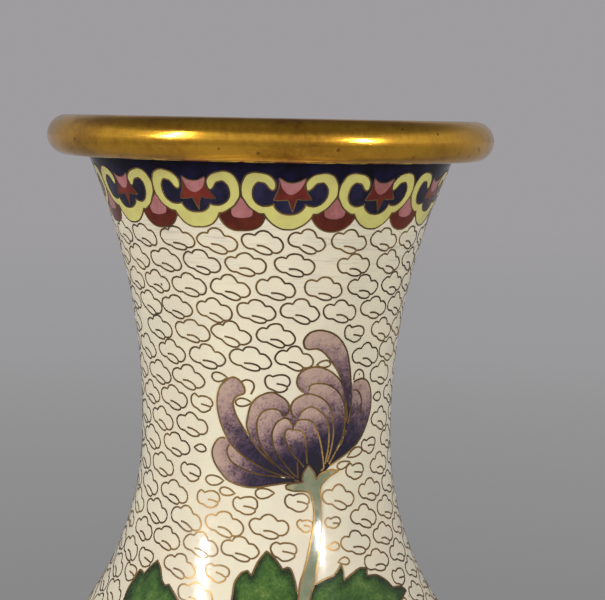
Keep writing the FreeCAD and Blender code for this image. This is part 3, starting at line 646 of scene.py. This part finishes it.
# the lining's floor, just above the base plate
FLOOR_LOW, FLOOR_HIGH = FOOT_TOP + 1.0, FOOT_TOP + 1.5
heights = [z for z in wall_heights if z > FOOT_TOP + 3]
lining_outline = level(offset_face(LINING_BACK, heights), LIP, FLOOR_LOW)
lining_outline += [(0.0, FLOOR_LOW), (0.0, FLOOR_HIGH)]
lining_outline += level(offset_face(LINING_FACE, heights), LIP, FLOOR_HIGH)[::-1]
turned("lining", lining_outline, 192, LINING, "inner_lining", "lining")

bead_x, bead_z = MOUTH_R - MOUTH_BEAD, RING_HIGH - MOUTH_BEAD
edge_x, edge_z = MOUTH_BORE_R + MOUTH_EDGE_R, RING_HIGH - MOUTH_EDGE_DROP
ring_outline = [(MOUTH_BORE_R, LIP), (MOUTH_SEAT_R, LIP)]
ring_outline += arc_points((bead_x, bead_z), MOUTH_BEAD, -90, 90, 28)
ring_outline += [(bead_x + (edge_x - bead_x) * t, RING_HIGH - MOUTH_EDGE_DROP * t * t)
                 for t in (0.2, 0.4, 0.6, 0.8)]
ring_outline += arc_points((edge_x, edge_z - MOUTH_EDGE_R), MOUTH_EDGE_R, 90, 180, 10)
turned("mouth_ring_gilt", ring_outline, 384, GILT, "mouth_ring", "gilt")

foot_bead = FOOT_TOP / 2
foot_bead_x = FOOT_RING_R - foot_bead
foot_outline = [(FOOT_BORE_R, 0.0), (foot_bead_x - FOOT_EASE, 0.0)]
foot_outline += arc_points((foot_bead_x, foot_bead), foot_bead, -90, 90, 18)
foot_outline += [(FOOT_BORE_R, FOOT_TOP)]
turned("foot_ring_gilt", foot_outline, 288, GILT, "foot_ring", "gilt")

# enamel in the foot's recess, with a fillet of it at the ring
under_x, under_top = FOOT_BORE_R - 0.02, FOOT_TOP - 0.01
under_outline = [(0.0, 4.6), (FOOT_BORE_R - 1.0, 4.6), (under_x, 4.3), (under_x, under_top)]
under_outline += [(0.0, under_top)]
turned("underside", under_outline, 128, LINING, "base_enamel", "lining")
for node in ("neck_shell", "shoulder_shell", "lower_shell", "base_plate"):
    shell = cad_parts[node]
    shell.data.materials.clear()
    shell.data.materials.append(COPPER)

# ---------------------------------------------------------------- collar of scrolled cloud heads
HEADS = 12
HEAD_AZIMUTH = math.radians(6)
HEAD_STEP = 2 * math.pi / HEADS

half_head = chain((0, 229.05),
    [(1.8, 229.1), (3.4, 229.4), (4.9, 229.9), (6, 230.5), (7, 231.2), (7.8, 232.05)],
    [(9.2, 232.1), (10.8, 232.6), (12.4, 233.3), (13.6, 234.3), (14.6, 235.3), (14.9, 236.35),
     (14.8, 237.5), (14.2, 238.4), (13.2, 239.3), (11.8, 239.8), (10.4, 240), (9, 239.9), (7.6, 239.7),
     (6.4, 239.4), (5.2, 238.8), (4.4, 238), (4.3, 237.2), (4.8, 236.6), (5.7, 236.5), (6.6, 237),
     (7.1, 237.5)],
    [(7.8, 237.9), (8.6, 238), (9.7, 238.1), (10.7, 237.6), (11.3, 237), (11.5, 236.2), (11.4, 235.4),
     (10.9, 234.7), (10.1, 234.1), (9, 233.7), (8, 233.5), (7, 233.5), (5.9, 233.6), (5, 233.9)],
    [(4.8, 233.4), (4.2, 232.9), (3.4, 232.5), (2.3, 232.15), (1.2, 232), (0, 231.95)])
head_outline = half_head + [mirrored(points) for points in reversed(half_head)]
star = circuit([(2, 238.2), (0.4, 238.05), (-1.3, 238.2), (-3.4, 238.9)],
    [(-3.3, 237.6), (-3.6, 236.6), (-4.4, 235.6), (-5.2, 234.6)], [(-2.8, 234.6), (-0.6, 234.8)],
    [(0.1, 233.6), (0.9, 232.4)], [(1.5, 233.7), (2.3, 234.9)], [(4.6, 234.7), (7, 234.8)],
    [(5.7, 235.8), (4.9, 236.6), (4.4, 237.7), (4.2, 238.9)])
blush_side = [(-3.4, 238.9), (-2.9, 237.9), (-2.2, 236.9), (-1, 236.1), (0.4, 235.8), (1.8, 236.1),
    (3, 236.8), (3.8, 237.8), (4.2, 238.9)]
star_blush = [star[0], blush_side]
fill_half = [(0, 230.4), (6.2, 232), (9.5, 233), (12.8, 235), (12.8, 237.6), (9, 239)]
fill_side = [(-3.4, 238.9), (-6, 238.4)] + mirrored(fill_half)[:-1] + fill_half
fill_side += [(6.4, 238.4), (4.2, 238.9)]
head_fill = [fill_side, star[0]]
pendant_top = [(0, 235.2), (3.4, 233.4), (6.6, 232.4), (7.4, 231.2)]
pendant_low = [(7.4, 231.2), (6.3, 230.1), (4.6, 229.2), (2.4, 228.7), (0, 228.6)]
pendant = [pendant_top, pendant_low + mirrored(pendant_low)[1:], mirrored(pendant_top)]
blush_half = [(0, 235.2), (2.3, 234.1), (3.2, 233.1), (3.5, 232.2), (3, 231.5), (1.6, 231.2), (0, 231.1)]
pendant_blush = [blush_half + mirrored(blush_half)[1:]]

# each piece's material, the CAD node that it replaces and its slot
LOOKS = {
    "heads": (YELLOW, "head_enamel", "yellow"),
    "head_fills": (CELL_NAVY, "head_cells", "navy"),
    "stars": (RED, "star_red", "red"),
    "star_blushes": (PINK, "star_pink", "pink"),
    "pendants": (MAROON, "pendant_red", "red"),
    "pendant_blushes": (PINK, "pendant_pink", "pink"),
    "spray_petals": (PETAL, "petal_enamel", "violet"),
    "spray_stems": (STEM, "stem_enamel", "stem_green"),
    "spray_leaves": (LEAF, "leaf_enamel", "leaf_green"),
    "border_lappet": (YELLOW, "border_lappets", "yellow"),
}
for part in ("head", "star", "pendant", "petal", "stem", "leaf", "cloud", "border"):
    gilt = PETAL_GILT if part in ("petal", "stem") else WIRE_GILT
    LOOKS[part + "_wire"] = (gilt, part + "_wires", "gilt_wire")
pieces = {name: Piece(name) for name in LOOKS}

# each cell's strands, sampling step, height over the ivory, grid, and steps round from its head
COLLAR_CELLS = {
    "heads": (head_outline, 0.3, 0.044, GRID, 0),
    "head_fills": (head_fill, 0.5, 0.024, GRID, 0),
    "stars": (star, 0.4, 0.032, FINE_GRID, 0),
    "star_blushes": (star_blush, 0.4, 0.038, FINE_GRID, 0),
    "pendants": (pendant, 0.4, 0.014, GRID, 0.5),
    "pendant_blushes": (pendant_blush, 0.4, 0.019, GRID, 0.5),
}


def bent(strands, bend):
    """Strands of the collar, a little different in each head."""
    return [[(x + 0.16 * math.sin(z * 0.9 + bend + x * 0.3), z + 0.06 * math.sin(x * 0.6 + bend * 2))
             for x, z in strand] for strand in strands]


for index in range(HEADS):
    centre = HEAD_AZIMUTH + HEAD_STEP * index
    bend = random.uniform(0, 6)
    for name, (strands, step, proud, grid, steps_round) in COLLAR_CELLS.items():
        place = band(centre + HEAD_STEP * steps_round)
        cell(pieces[name], loop(bent(strands, bend), step), place, proud, grid, tint=random.random())
    place, below = band(centre), band(centre + HEAD_STEP / 2)
    wire(pieces["head_wire"], loop(bent(head_outline, bend), 0.3), place, high=0.075, closed=True)
    for strand in bent(star, bend):
        wire(pieces["star_wire"], smooth(strand, 0.4), place, WIRE * 0.7, high=0.06)
    wire(pieces["pendant_wire"], loop(bent(pendant, bend), 0.4), below, WIRE * 0.9, high=0.04, closed=True)

# ---------------------------------------------------------------- sprays of chrysanthemum
bud_petals = [
    circuit([(6.4, 182.7), (5.1, 184.1), (4.2, 185.9), (3.6, 187.6), (4, 189), (5.6, 188.9),
        (7, 188.5), (7.6, 187), (7.9, 184.4), (8, 181)]),
    circuit([(4.4, 191), (3.3, 191.3), (1.9, 190.3), (1.1, 188.4), (1.3, 186.2), (2, 184.4),
         (3.5, 182.3), (5.1, 180.3), (6.4, 179.2)], [(5.9, 184.9), (5, 189.9)]),
    circuit([(6, 190.7), (7.7, 190.9), (9, 190.3), (9.9, 188.6), (10.7, 186.1), (11.2, 183.3),
         (11.5, 181)], [(10, 178.7)], [(9.2, 180.5), (8, 181.5)], [(7, 186.4), (5.3, 189.2)]),
    circuit([(6.8, 192.5), (8.6, 193.4), (10.4, 192.5), (11.8, 190.8), (12.4, 188), (12.3, 184.9),
         (11.9, 182.5), (11.6, 180.9)], [(9.7, 186.9), (6.3, 191.1)]),
    circuit([(5.1, 191.8), (4.7, 193.2), (5.2, 194.7), (6.4, 195.6), (8.2, 196.1), (10.6, 195.2),
         (12.3, 193.4), (13.1, 190.6), (13.3, 187.5), (12.9, 184.6), (12.3, 182.4), (11.7, 180.9)],
        [(10.7, 188), (6.1, 191.1)]),
    circuit([(2.5, 192.8), (1, 193.2), (-0.8, 192.6), (-1.8, 190.9), (-1.9, 188.8), (-1.2, 186.1),
         (0.6, 183.4), (2.9, 181.1), (5.6, 179.1)], [(3.3, 184.9), (3.1, 191.7)]),
    circuit([(-3.9, 189.5), (-3.8, 191.1), (-3.2, 193.7), (-1.8, 195.5), (0.8, 196.5), (3, 195.5),
         (4.2, 194.2), (4.3, 192.7), (3.2, 191.4)], [(3.1, 185.9), (5.6, 179.2)],
        [(2.1, 181.5), (-1.5, 184.9), (-3.1, 187.1)]),
    circuit([(8.4, 197.7), (9.7, 198.1), (11.8, 197.8), (13.9, 196.3), (15.3, 193.7), (15.6, 190.6),
         (15.4, 187.5), (14.2, 184.6), (12.5, 181.5), (11.8, 180.9)], [(12.3, 189), (8.2, 196.2)]),
    circuit([(6.2, 197.4), (5.8, 198.9), (6.7, 200.6), (9.2, 201.5), (11.8, 200.8), (13.9, 199.1),
         (14.9, 197.5), (15.6, 194.7), (16, 191.1), (15.8, 188.5)], [(12.3, 191.1), (7.3, 196.2)]),
    circuit([(7, 206.9), (8.1, 208.4), (10.1, 208.9), (12.4, 208.3), (14.2, 206.9), (15.6, 204.5),
         (16.3, 201.4), (16.7, 197.8), (16.9, 194.2), (16.5, 190.6), (15.6, 186.8)],
        [(15.7, 194.2), (15, 197.5), (14, 200.2), (12.6, 202.4), (11, 204.4), (9.5, 205.2), (8, 205.1),
         (7.2, 205.5)]),
    circuit([(17.3, 197.7), (19, 198.2), (20.3, 197.3), (21, 195), (21.1, 192.1), (20.6, 189.5),
         (19.6, 186.9), (18.3, 184.9), (16.3, 183.3), (14.2, 182), (12.3, 180.9)],
        [(15, 185.5), (16.3, 190.1), (16.6, 196.3)]),
    circuit([(0.5, 180.7), (-2.6, 182.3), (-5.1, 184), (-7.2, 186.1), (-8.4, 188.3), (-9.2, 190.4),
        (-9.8, 193.2), (-9.7, 195.8), (-8.9, 197.8), (-6.9, 199.3), (-5.3, 198.6), (-4.5, 197.3),
        (-4.5, 196.2), (-5.4, 195.8), (-6.3, 195.2), (-6.7, 194), (-6.1, 191.8), (-4.6, 189.2), (-3, 186.8),
        (0, 183.8), (3.1, 181.1), (5.6, 179.1)]),
    circuit([(2.1, 179.6), (-1.5, 180), (-4.3, 180.9), (-6.5, 182), (-7.5, 183.4), (-7.7, 184.9),
         (-7, 186.1)], [(-4.6, 184.2), (0, 181.3), (5.1, 179.3)]),
    circuit([(4.6, 178.3), (1, 177.8), (-2.3, 177.3), (-5.1, 177.6), (-7.5, 178.5), (-9, 180),
         (-10.3, 182), (-10.7, 184.2), (-9.8, 186.3), (-8.6, 187), (-7.2, 186.3)],
        [(-5.1, 183.4), (0, 180.3), (7.5, 178.3)]),
]
PETAL_ROOT = (9.4, 179.6)
petal_veins = {
    10: [[(16.7, 196), (17.7, 196.1), (18.6, 195.2), (19, 193.6), (18.9, 190.9)]],
    13: [[(-4, 183.8), (-1, 182.5), (3, 181)]],
}
stem = circuit([(9.5, 180.1), (10, 178.5)],
    [(10.6, 179.5), (11.9, 180.1), (13.1, 180.3), (14.6, 179.9)],
    [(13.1, 179.2), (11.9, 178.3), (10.9, 176.9), (11.1, 174.4), (11.2, 171.3), (11.2, 168.1),
     (10.8, 164.9), (10.4, 161.8), (10, 159), (9.2, 156.5), (8.2, 149), (7, 141)], [(5, 142)],
    [(5.9, 149.5), (6.8, 156.5), (7.1, 159), (7.7, 160.7), (8.3, 162.8), (8.9, 165.5), (9.4, 168.1),
     (9.7, 170.7), (9.6, 173.4), (8.8, 175.9), (7.4, 176.5), (5.7, 176.6), (4.1, 177.1), (4, 177.7),
     (5.1, 178.1), (7.4, 178.3), (7.2, 178.9), (7.5, 180.3), (8.4, 181.6)])
leaves = [
    circuit([(-5.8, 159.1), (-4.5, 160.9), (-3.3, 161.4)], [(-2.5, 160.5)],
        [(-1.2, 163.2), (0.4, 165.1)], [(2, 163.8), (3.6, 161.7)], [(5, 161.9), (6, 159.7), (6.6, 157)],
        [(7.4, 151), (6.6, 146), (4, 142)], [(0.6, 143.6), (-1.4, 146.4)], [(-4.2, 147.2), (-5.2, 149.6)],
        [(-7.2, 151.6), (-6.2, 156.5)]),
    circuit([(10.3, 158.6), (12.4, 159.5), (13.8, 159.8)], [(14.8, 160.9), (15.3, 161.8)],
        [(15.8, 160.3), (15.9, 158.7)], [(17.6, 159.6), (19.2, 160.3), (20.7, 160)], [(20.8, 158.6)],
        [(22.8, 158.2), (24.8, 156.8), (26.4, 155)], [(28.2, 154.5), (29.5, 153.3)],
        [(27, 151.6), (24.4, 151.6)], [(23, 149.4), (19.6, 149)], [(18, 146.6), (14.6, 146.4)],
        [(12, 143.6), (7, 142.5)], [(7.6, 149), (8.8, 157)]),
    circuit([(-19, 157)], [(-19.9, 156.7), (-20.5, 157.5)], [(-20.9, 159.5), (-21.6, 160.7)],
        [(-23.2, 159), (-24.4, 157.5)], [(-25.3, 157.9), (-26.5, 156), (-27.8, 153.8), (-28.6, 151.7)],
        [(-28.4, 148.8), (-26, 147.4)], [(-24.8, 144.2), (-20.6, 143.6)], [(-17.4, 140.4), (-13, 140.6)],
        [(-10, 137.2), (-6, 136)], [(-7.4, 142.4), (-11, 147), (-14.2, 151), (-17.6, 155.4)]),
]
leaf_veins = [
    [[(5, 144), (3.4, 149), (2, 154.5)], [(3.6, 148.5), (0.4, 150.5), (-2.6, 153.2)]],
    [[(8.6, 145), (14, 149.6), (20.4, 152.6)], [(12.6, 148.6), (13, 151.6), (13.8, 154.2)]],
    [[(-8, 138.6), (-14.6, 145), (-18.2, 151.6)], [(-14, 144.4), (-19.4, 146.4), (-23.4, 149.6)]],
]
# the dark root of the flower, behind the petals where they part
flower_root = circuit([(4.8, 178.5), (2.6, 180.6), (-0.6, 184.4), (-1.2, 188), (0.4, 192.2),
     (3.2, 194), (4.9, 192.2), (9, 193.6), (13.4, 190), (14.4, 185.6), (13.4, 182), (12, 180.3)],
    [(9.4, 178.4), (7.4, 177.7)])
BLOOM = (4, 118)


def petal_ring(petal_count, root, tip, turn):
    """Ring of round-tipped petals of the open bloom."""
    half = 180 / petal_count
    right = [(0.5, tip * 0.97), (0.8, tip * 0.85), (0.9, (root + tip) / 2)]
    shape = [(0, root)] + mirrored(right) + [(0, tip)] + right + [(0, root)]
    petals = []
    for index in range(petal_count):
        middle = turn + 2 * half * index
        spots = [(math.radians(middle + half * aside), reach) for aside, reach in shape]
        petals.append([moved([(r * math.sin(a), r * math.cos(a)) for a, r in spots], *BLOOM)])
    return petals


bloom_petals = petal_ring(9, 2.5, 11, 0) + petal_ring(14, 8, 22, 8)
bud_reach = [spot for strands in bud_petals[:5] for strand in strands for spot in strand]
STEP = 0.45


def from_root(root, outline):
    """Shade of a petal: 0 at its root and 1 at its far tip."""
    far = max(math.dist(spot, root) for spot in outline)
    return lambda x, y: math.dist((x, y), root) / far


def from_edge(reach, outline):
    """Shade of a leaf or stem: 0 at its edge, rising to 1 inwards."""
    return lambda x, y: min(1.0, min(math.hypot(x - a, y - b) for a, b in outline) / reach)


def touches(box, other):
    return box[0] < other[1] and other[0] < box[1] and box[2] < other[3] and other[2] < box[3]


SPRAY_CELLS = {"petal": "spray_petals", "stem": "spray_stems", "leaf": "spray_leaves"}
# height over the ivory of the nearest of each, and the width of the shaded edge of stem and leaf
STEM_PROUD, PETAL_PROUD, LEAF_PROUD, ROOT_PROUD = 0.14, 0.13, 0.055, 0.06
STEM_EDGE, LEAF_EDGE = 0.8, 1.6


class Spray:
    """One spray laid on the wall: nearer cells first, wires stopping at the cells in front."""

    def __init__(self, azimuth):
        self.azimuth, self.place = azimuth, front(azimuth)
        self.covers, self.laid = [], []

    def cover(self, outline):
        self.covers.append((outline, edges_of(outline)))

    def lay(self, strands, part, proud, shade_of, measure, veins=()):
        """Cell and wires of a petal, stem or leaf, shaded from its root or its edge."""
        outline = loop(strands, STEP)
        shade, edges = shade_of(measure, outline), edges_of(outline)
        cell(pieces[SPRAY_CELLS[part]], outline, self.place, proud, FINE_GRID, shade, random.random())
        near = [cover for cover, box in self.covers if touches(box, edges)]
        for line in [outline + outline[:1]] + [smooth(vein, STEP) for vein in veins]:
            for run in free_runs(line, near, self.laid, WIRE * 0.75):
                wire(pieces[part + "_wire"], run, self.place, SPRAY_WIRE, proud + 0.03)
        self.laid += outline
        self.cover(outline)


sprays = [Spray(0.0), Spray(math.pi)]
for spray in sprays:
    spray.lay(stem, "stem", STEM_PROUD, from_edge, STEM_EDGE)
    for index, strands in enumerate(bud_petals):
        proud, veins = PETAL_PROUD - 0.004 * index, petal_veins.get(index, ())
        spray.lay(strands, "petal", proud, from_root, PETAL_ROOT, veins)
    outline, shade = loop(flower_root, STEP), from_root(PETAL_ROOT, bud_reach)
    cell(pieces["spray_petals"], outline, spray.place, ROOT_PROUD, FINE_GRID, shade)
    spray.cover(outline)
    if spray.azimuth == 0:
        for index, strands in enumerate(bloom_petals):
            spray.lay(strands, "petal", PETAL_PROUD - 0.0025 * index, from_root, BLOOM)
    for index, (strands, veins) in enumerate(zip(leaves, leaf_veins)):
        spray.lay(strands, "leaf", LEAF_PROUD - 0.006 * index, from_edge, LEAF_EDGE, veins)

# ---------------------------------------------------------------- cloud wires
# One wire draws each small cloud: a curled tail, then lobes that meet at notches.
CLOUD = chain((-1.07, -0.78),
    [(0.22, -0.89), (1.35, -1.37), (1.85, -1.9), (1.5, -2.32), (0.57, -2.39), (-0.64, -2.02),
     (-1.68, -1.4)],
    [(-2.63, -1.27), (-3.45, -0.7), (-3.84, 0.3), (-3.42, 1.2), (-2.54, 1.6), (-1.6, 1.42)],
    [(-1.07, 2.08), (-0.1, 2.34), (0.95, 2.02), (1.7, 1.02)],
    [(2.7, 0.92), (3.5, 0.2), (3.82, -0.65), (3.43, -1.5), (2.65, -1.9), (1.95, -1.87)])
HALF_CLOUD = chain((-0.3, -0.25),
    [(0.9, -0.45), (1.95, -0.75), (2.35, -0.1), (2.1, 0.75), (1.2, 1.25), (0, 1.3), (-0.9, 1.05)],
    [(-1.6, 1.45), (-2.35, 0.95), (-2.5, 0), (-2, -0.95), (-1.2, -1.35)],
    [(-0.2, -1.95), (0.9, -1.9), (1.8, -1.35), (1.95, -0.95)])
DROP = circuit([(-0.5, 0.62), (0.55, 0.75), (1.25, 0.3), (1.3, -0.35), (0.6, -0.75), (-0.5, -0.6),
    (-1.45, 0)])
# first row's height, distance between rows, usual distance between clouds, and the least for a full one
CLOUD_TOP, CLOUD_ROW, CLOUD_PITCH, FULL_ROOM = 226.6, 4.78, 8.8, 8.0
# a cloud keeps this far aside of those above it, and looks this far (mm, radians) for a spray
CLEAR_OF_ABOVE, CLOUD_REACH, SPRAY_REACH = 3.4, 6, 1.4
EVENING_ROUNDS = 24


def bent_path(strands, amount):
    """Line of joined strands with its lobes pushed about a little, as a hand bends them."""
    phase = [random.uniform(0, 2 * math.pi) for _ in range(4)]
    line = []
    for strand in strands:
        line = line[:-1] + smooth([
            (x + amount * math.sin(0.9 * y + 0.6 * x + phase[0]) + amount * math.sin(1.9 * x + phase[1]),
             y + amount * math.sin(0.8 * x - 0.5 * y + phase[2]) + amount * math.sin(1.7 * y + phase[3]))
            for x, y in strand], 0.36)
    return line[:-1] if strands is DROP else line


def near_spray(turn, z):
    """Azimuth of the spray beside a place, and the outlines there that a wire must keep clear of."""
    r = wall_at(z)[0]
    for spray in sprays:
        away = wrapped(turn - spray.azimuth)
        if abs(away) < SPRAY_REACH:
            x = r * math.sin(away)
            box = x - CLOUD_REACH, x + CLOUD_REACH, z - CLOUD_REACH, z + CLOUD_REACH
            near = [line for line, edges in spray.covers if touches(box, edges)]
            if near:
                return spray.azimuth, near
    return 0.0, []


def clear_of(line, place, azimuth, outlines):
    """Whether a line stays outside every outline of the spray at an azimuth."""
    for spot in line[::2]:
        turn, z = place(*spot)
        x = wall_at(z)[0] * math.sin(turn - azimuth)
        if any(inside(x, z, outline) for outline in outlines):
            return False
    return True


# where a smaller form may sit in the room of one cloud, nearest first
HALF_PLACES = [(0, 0), (-1.3, 0), (1.3, 0), (0, 0.7), (0, -0.7)]
HALF_PLACES += [(x, y) for y in (0.7, -0.7) for x in (-1.3, 1.3)]
DROP_PLACES = [(-2.4, 0), (2.4, 0), (0, 1.5), (0, -1.5), (-2.3, 1.2), (2.3, 1.2), (-2.3, -1.2), (2.3, -1.2)]


def draw_wire(strands, line, place, tint):
    wire(pieces["cloud_wire"], line, place, CLOUD_WIRE, closed=strands is DROP, tint=tint)


def draw_cloud(place, tint):
    """A cloud, or beside a spray the largest form that still fits there."""
    azimuth, outlines = near_spray(*place(0, 0))
    choices = [(CLOUD, [(0, 0)])]
    if outlines:
        choices += [(HALF_CLOUD, HALF_PLACES), (DROP, DROP_PLACES)]
    for strands, places in choices:
        line = bent_path(strands, 0.09)
        for dx, dy in places:
            if clear_of(moved(line, dx, dy, 1.07), place, azimuth, outlines):
                draw_wire(strands, moved(line, dx, dy), place, tint)
                return


# small drops and hooks in the spaces beside the flower: x, z, spin in degrees, and size
DROPS = [(-9.5, 199.2, 180, 1.15), (-4.7, 194.3, 180, 1.15), (-10.2, 178.2, 180, 1.25),
         (-7.7, 176.2, 170, 1.1), (-0.2, 176.2, 180, 1.3), (17.9, 183, 20, 1.15), (15.5, 181, 195, 1)]
HOOKS = [[(-5.1, 198.5), (-4.1, 198.9), (-2.9, 198.5), (-2.6, 197.4), (-3.2, 196)],
         [(17.3, 198.1), (17.5, 199.5), (18.3, 200.2), (19.2, 199.6), (19.5, 198.2)]]
for spray in sprays:
    for x, z, spin, size in DROPS:
        cos, sin = size * math.cos(math.radians(spin)), size * math.sin(math.radians(spin))
        line = [(x + a * cos - b * sin, z + a * sin + b * cos) for a, b in bent_path(DROP, 0.05)]
        draw_wire(DROP, line, spray.place, random.random())
        spray.cover(line)
    for hook in HOOKS:
        draw_wire(hook, smooth(hook), spray.place, random.random())
        spray.cover(hook)


def with_neighbours(turns):
    return zip(turns[-1:] + turns, turns, turns[1:] + turns[:1])


def row_below(above, r):
    """Azimuths of a row of clouds: between those above, evened out, with some added as the wall widens."""
    turns = [a + wrapped(b - a) / 2 for a, b in zip(above, above[1:] + above[:1])]
    wanted = 2 * math.pi * r / CLOUD_PITCH
    while abs(len(turns) - wanted) > 0.5:
        gaps = [wrapped(b - a) * random.uniform(0.9, 1.1) for a, b in zip(turns, turns[1:] + turns[:1])]
        if len(turns) > wanted:
            del turns[gaps.index(min(gaps))]
        else:
            spot = gaps.index(max(gaps))
            turns.insert(spot + 1, turns[spot] + gaps[spot] / 2)
    for _ in range(EVENING_ROUNDS):
        evened = []
        for before, turn, after in with_neighbours(turns):
            turn += 0.3 * (wrapped(before - turn) + wrapped(after - turn)) / 2
            apart = min((wrapped(turn - other) * r for other in above), key=abs)
            if abs(apart) < CLEAR_OF_ABOVE:
                turn += math.copysign((CLEAR_OF_ABOVE - abs(apart)) * 0.25, apart) / r
            evened.append(turn)
        turns = evened
    return turns


distance, finish = distance_down(CLOUD_TOP), distance_down(BORDER_TOP + 2.6)
count = round(2 * math.pi * wall_at(CLOUD_TOP)[0] / CLOUD_PITCH)
turns = [HEAD_AZIMUTH - 0.15 + 2 * math.pi * k / count for k in range(count)]
above = [turns[0] + math.pi / count]
while distance < finish:
    r = wall_at(height_down(distance))[0]
    for before, turn, after in with_neighbours(turns):
        room = min(abs(wrapped(turn - before)), abs(wrapped(after - turn))) * r
        apart = min(abs(wrapped(turn - other)) * r for other in above)
        size = random.uniform(1.0, 1.07) * min(1.0, room / FULL_ROOM) * (1.0 if apart > 2.0 else 0.88)
        place = tile(turn + random.uniform(-0.2, 0.2) / r, distance + random.uniform(-0.12, 0.12),
                     random.uniform(-0.07, 0.07), size)
        draw_cloud(place, random.random())
    distance += CLOUD_ROW
    above = turns
    turns = row_below(above, wall_at(height_down(distance))[0])

# ---------------------------------------------------------------- border above the foot ring
LAPPETS = 18
lappet_side = [(4.4, 8), (4.6, 10), (4.5, 12), (4, 14), (3.2, 15.5), (1.8, 16.9), (0, 18)]
lappet = loop([[(-4.4, 8), (4.4, 8)], lappet_side, mirrored(lappet_side)], 0.4)
for index in range(LAPPETS):
    place = front(2 * math.pi * index / LAPPETS)
    cell(pieces["border_lappet"], lappet, place, 0.03, tint=random.random())
    wire(pieces["border_wire"], lappet, place, high=0.06, closed=True)
edge_line = [(k, BORDER_TOP) for k in range(0, 360, 2)]
wire(pieces["border_wire"], edge_line, band(0.0), high=0.06, closed=True)

for name, look in LOOKS.items():
    pieces[name].build(*look)

# ---------------------------------------------------------------- floor, light and camera
FLOOR_REACH = 15.0 / MM
FADE_START, FADE_END = 0.12, 0.60
BACKDROP = (0.345, 0.335, 0.350)
rings, sides = 40, 96
radii = [FLOOR_REACH * (k / rings) ** 3 for k in range(rings + 1)]
floor_points, floor_faces = spun([(r, 0) for r in radii], sides, closed=False)
floor_mesh = bpy.data.meshes.new("floor")
floor_mesh.from_pydata([tuple(p) for p in floor_points], [], floor_faces)
added("floor", floor_mesh)

# a pale sweep: matt near the vase, and away from it a painted glow in place of lit floor, darker nearer the
# vase and rising to the grey of the backdrop
paper = Paint("pale_floor")
grain = paper.noise(40, 3.0, 0.5)
paper.set(Base_Color=paper.mix(grain, (0.46, 0.45, 0.46), (0.49, 0.48, 0.49)), Roughness=0.8)
away = paper.node("ShaderNodeVectorMath", {0: paper.place}, operation="LENGTH").outputs["Value"]
fade = paper.range(away, FADE_START, FADE_END)
# painted light: the far floor glows with this ramp of greys instead of being lit by the lamps
glow_colour = paper.ramp(paper.range(away, FADE_END, 3.2), [
    (0.0, (0.262, 0.262, 0.264)), (0.25, (0.318, 0.314, 0.322)), (1.0, BACKDROP)])
glow = paper.node("ShaderNodeEmission", {"Color": glow_colour, "Strength": 1.0})
blend = paper.node("ShaderNodeMixShader", {0: fade, 1: paper.shader.outputs[0], 2: glow.outputs[0]})
surface = paper.tree.nodes["Material Output"].inputs["Surface"]
paper.tree.links.new(blend.outputs[0], surface)
floor_mesh.materials.append(paper.material)

world = bpy.data.worlds.new("studio")
bpy.context.scene.world = world
world.use_nodes = True


class Sky(Paint):
    """World nodes: the backdrop as seen, and a room that is brightest in front, low down."""

    def __init__(self, world):
        self.tree = world.node_tree
        self.tree.nodes.clear()
        self.place = self.tree.nodes.new("ShaderNodeTexCoord").outputs["Generated"]


sky = Sky(world)
direction = sky.node("ShaderNodeSeparateXYZ", {"Vector": sky.place}).outputs
rise, back = direction["Z"], direction["Y"]
room = sky.ramp(sky.range(rise, 0.0, 1.0), [
    (0.0, (0.44, 0.44, 0.45)), (0.42, (0.42, 0.42, 0.43)), (0.64, (0.16, 0.16, 0.165)),
    (0.8, (0.12, 0.12, 0.125)), (1.0, (0.13, 0.13, 0.135))])
seen = sky.node("ShaderNodeBackground", {"Color": (*BACKDROP, 1), "Strength": 1.0})
lit = sky.node("ShaderNodeBackground", {"Color": room, "Strength": sky.range(back, -0.2, 0.7, 1.28, 0.68)})
ray = sky.node("ShaderNodeLightPath").outputs["Is Camera Ray"]
choice = sky.node("ShaderNodeMixShader", {0: ray, 1: lit.outputs[0], 2: seen.outputs[0]})
sky.node("ShaderNodeOutputWorld", {"Surface": choice.outputs[0]})


def softbox(name, azimuth, elevation, reach, width, tall, power):
    """Soft lamp on a sphere about the neck, aimed at it; angles in degrees."""
    lamp = bpy.data.lights.new(name, "AREA")
    lamp.shape = "RECTANGLE"
    lamp.size, lamp.size_y, lamp.energy = width, tall, power
    item = added(name, lamp)
    turn, rise = math.radians(azimuth), math.radians(elevation)
    aim = Vector((0, 0, 0.19))
    item.location = aim + reach * Vector((math.sin(turn) * math.cos(rise), -math.cos(turn) * math.cos(rise),
                                          math.sin(rise)))
    item.rotation_euler = (aim - item.location).to_track_quat("-Z", "Y").to_euler()


softbox("left_lamp", -50, 12.5, 1.2, 0.10, 0.14, 4.8)
softbox("left_strip", -48, 24, 1.2, 0.10, 0.30, 4.8)
softbox("right_lamp", 45.5, 9.5, 1.2, 0.09, 0.16, 6.8)

lens = bpy.data.cameras.new("camera")
lens.sensor_width, lens.lens = 36.0, 88.6
lens.clip_start, lens.clip_end = 0.01, 20.0
camera = added("camera", lens)
camera.location = (0.0, -0.315, 0.250)
PITCH, YAW, ROLL = math.radians(-6.95), math.radians(-1.31), math.radians(1.1)
turned_camera = Matrix.Rotation(YAW, 4, "Z") @ Matrix.Rotation(math.pi / 2 + PITCH, 4, "X")
camera.rotation_euler = (turned_camera @ Matrix.Rotation(ROLL, 4, "Z")).to_euler()
bpy.context.scene.camera = camera
bpy.context.scene.view_settings.view_transform = "Standard"
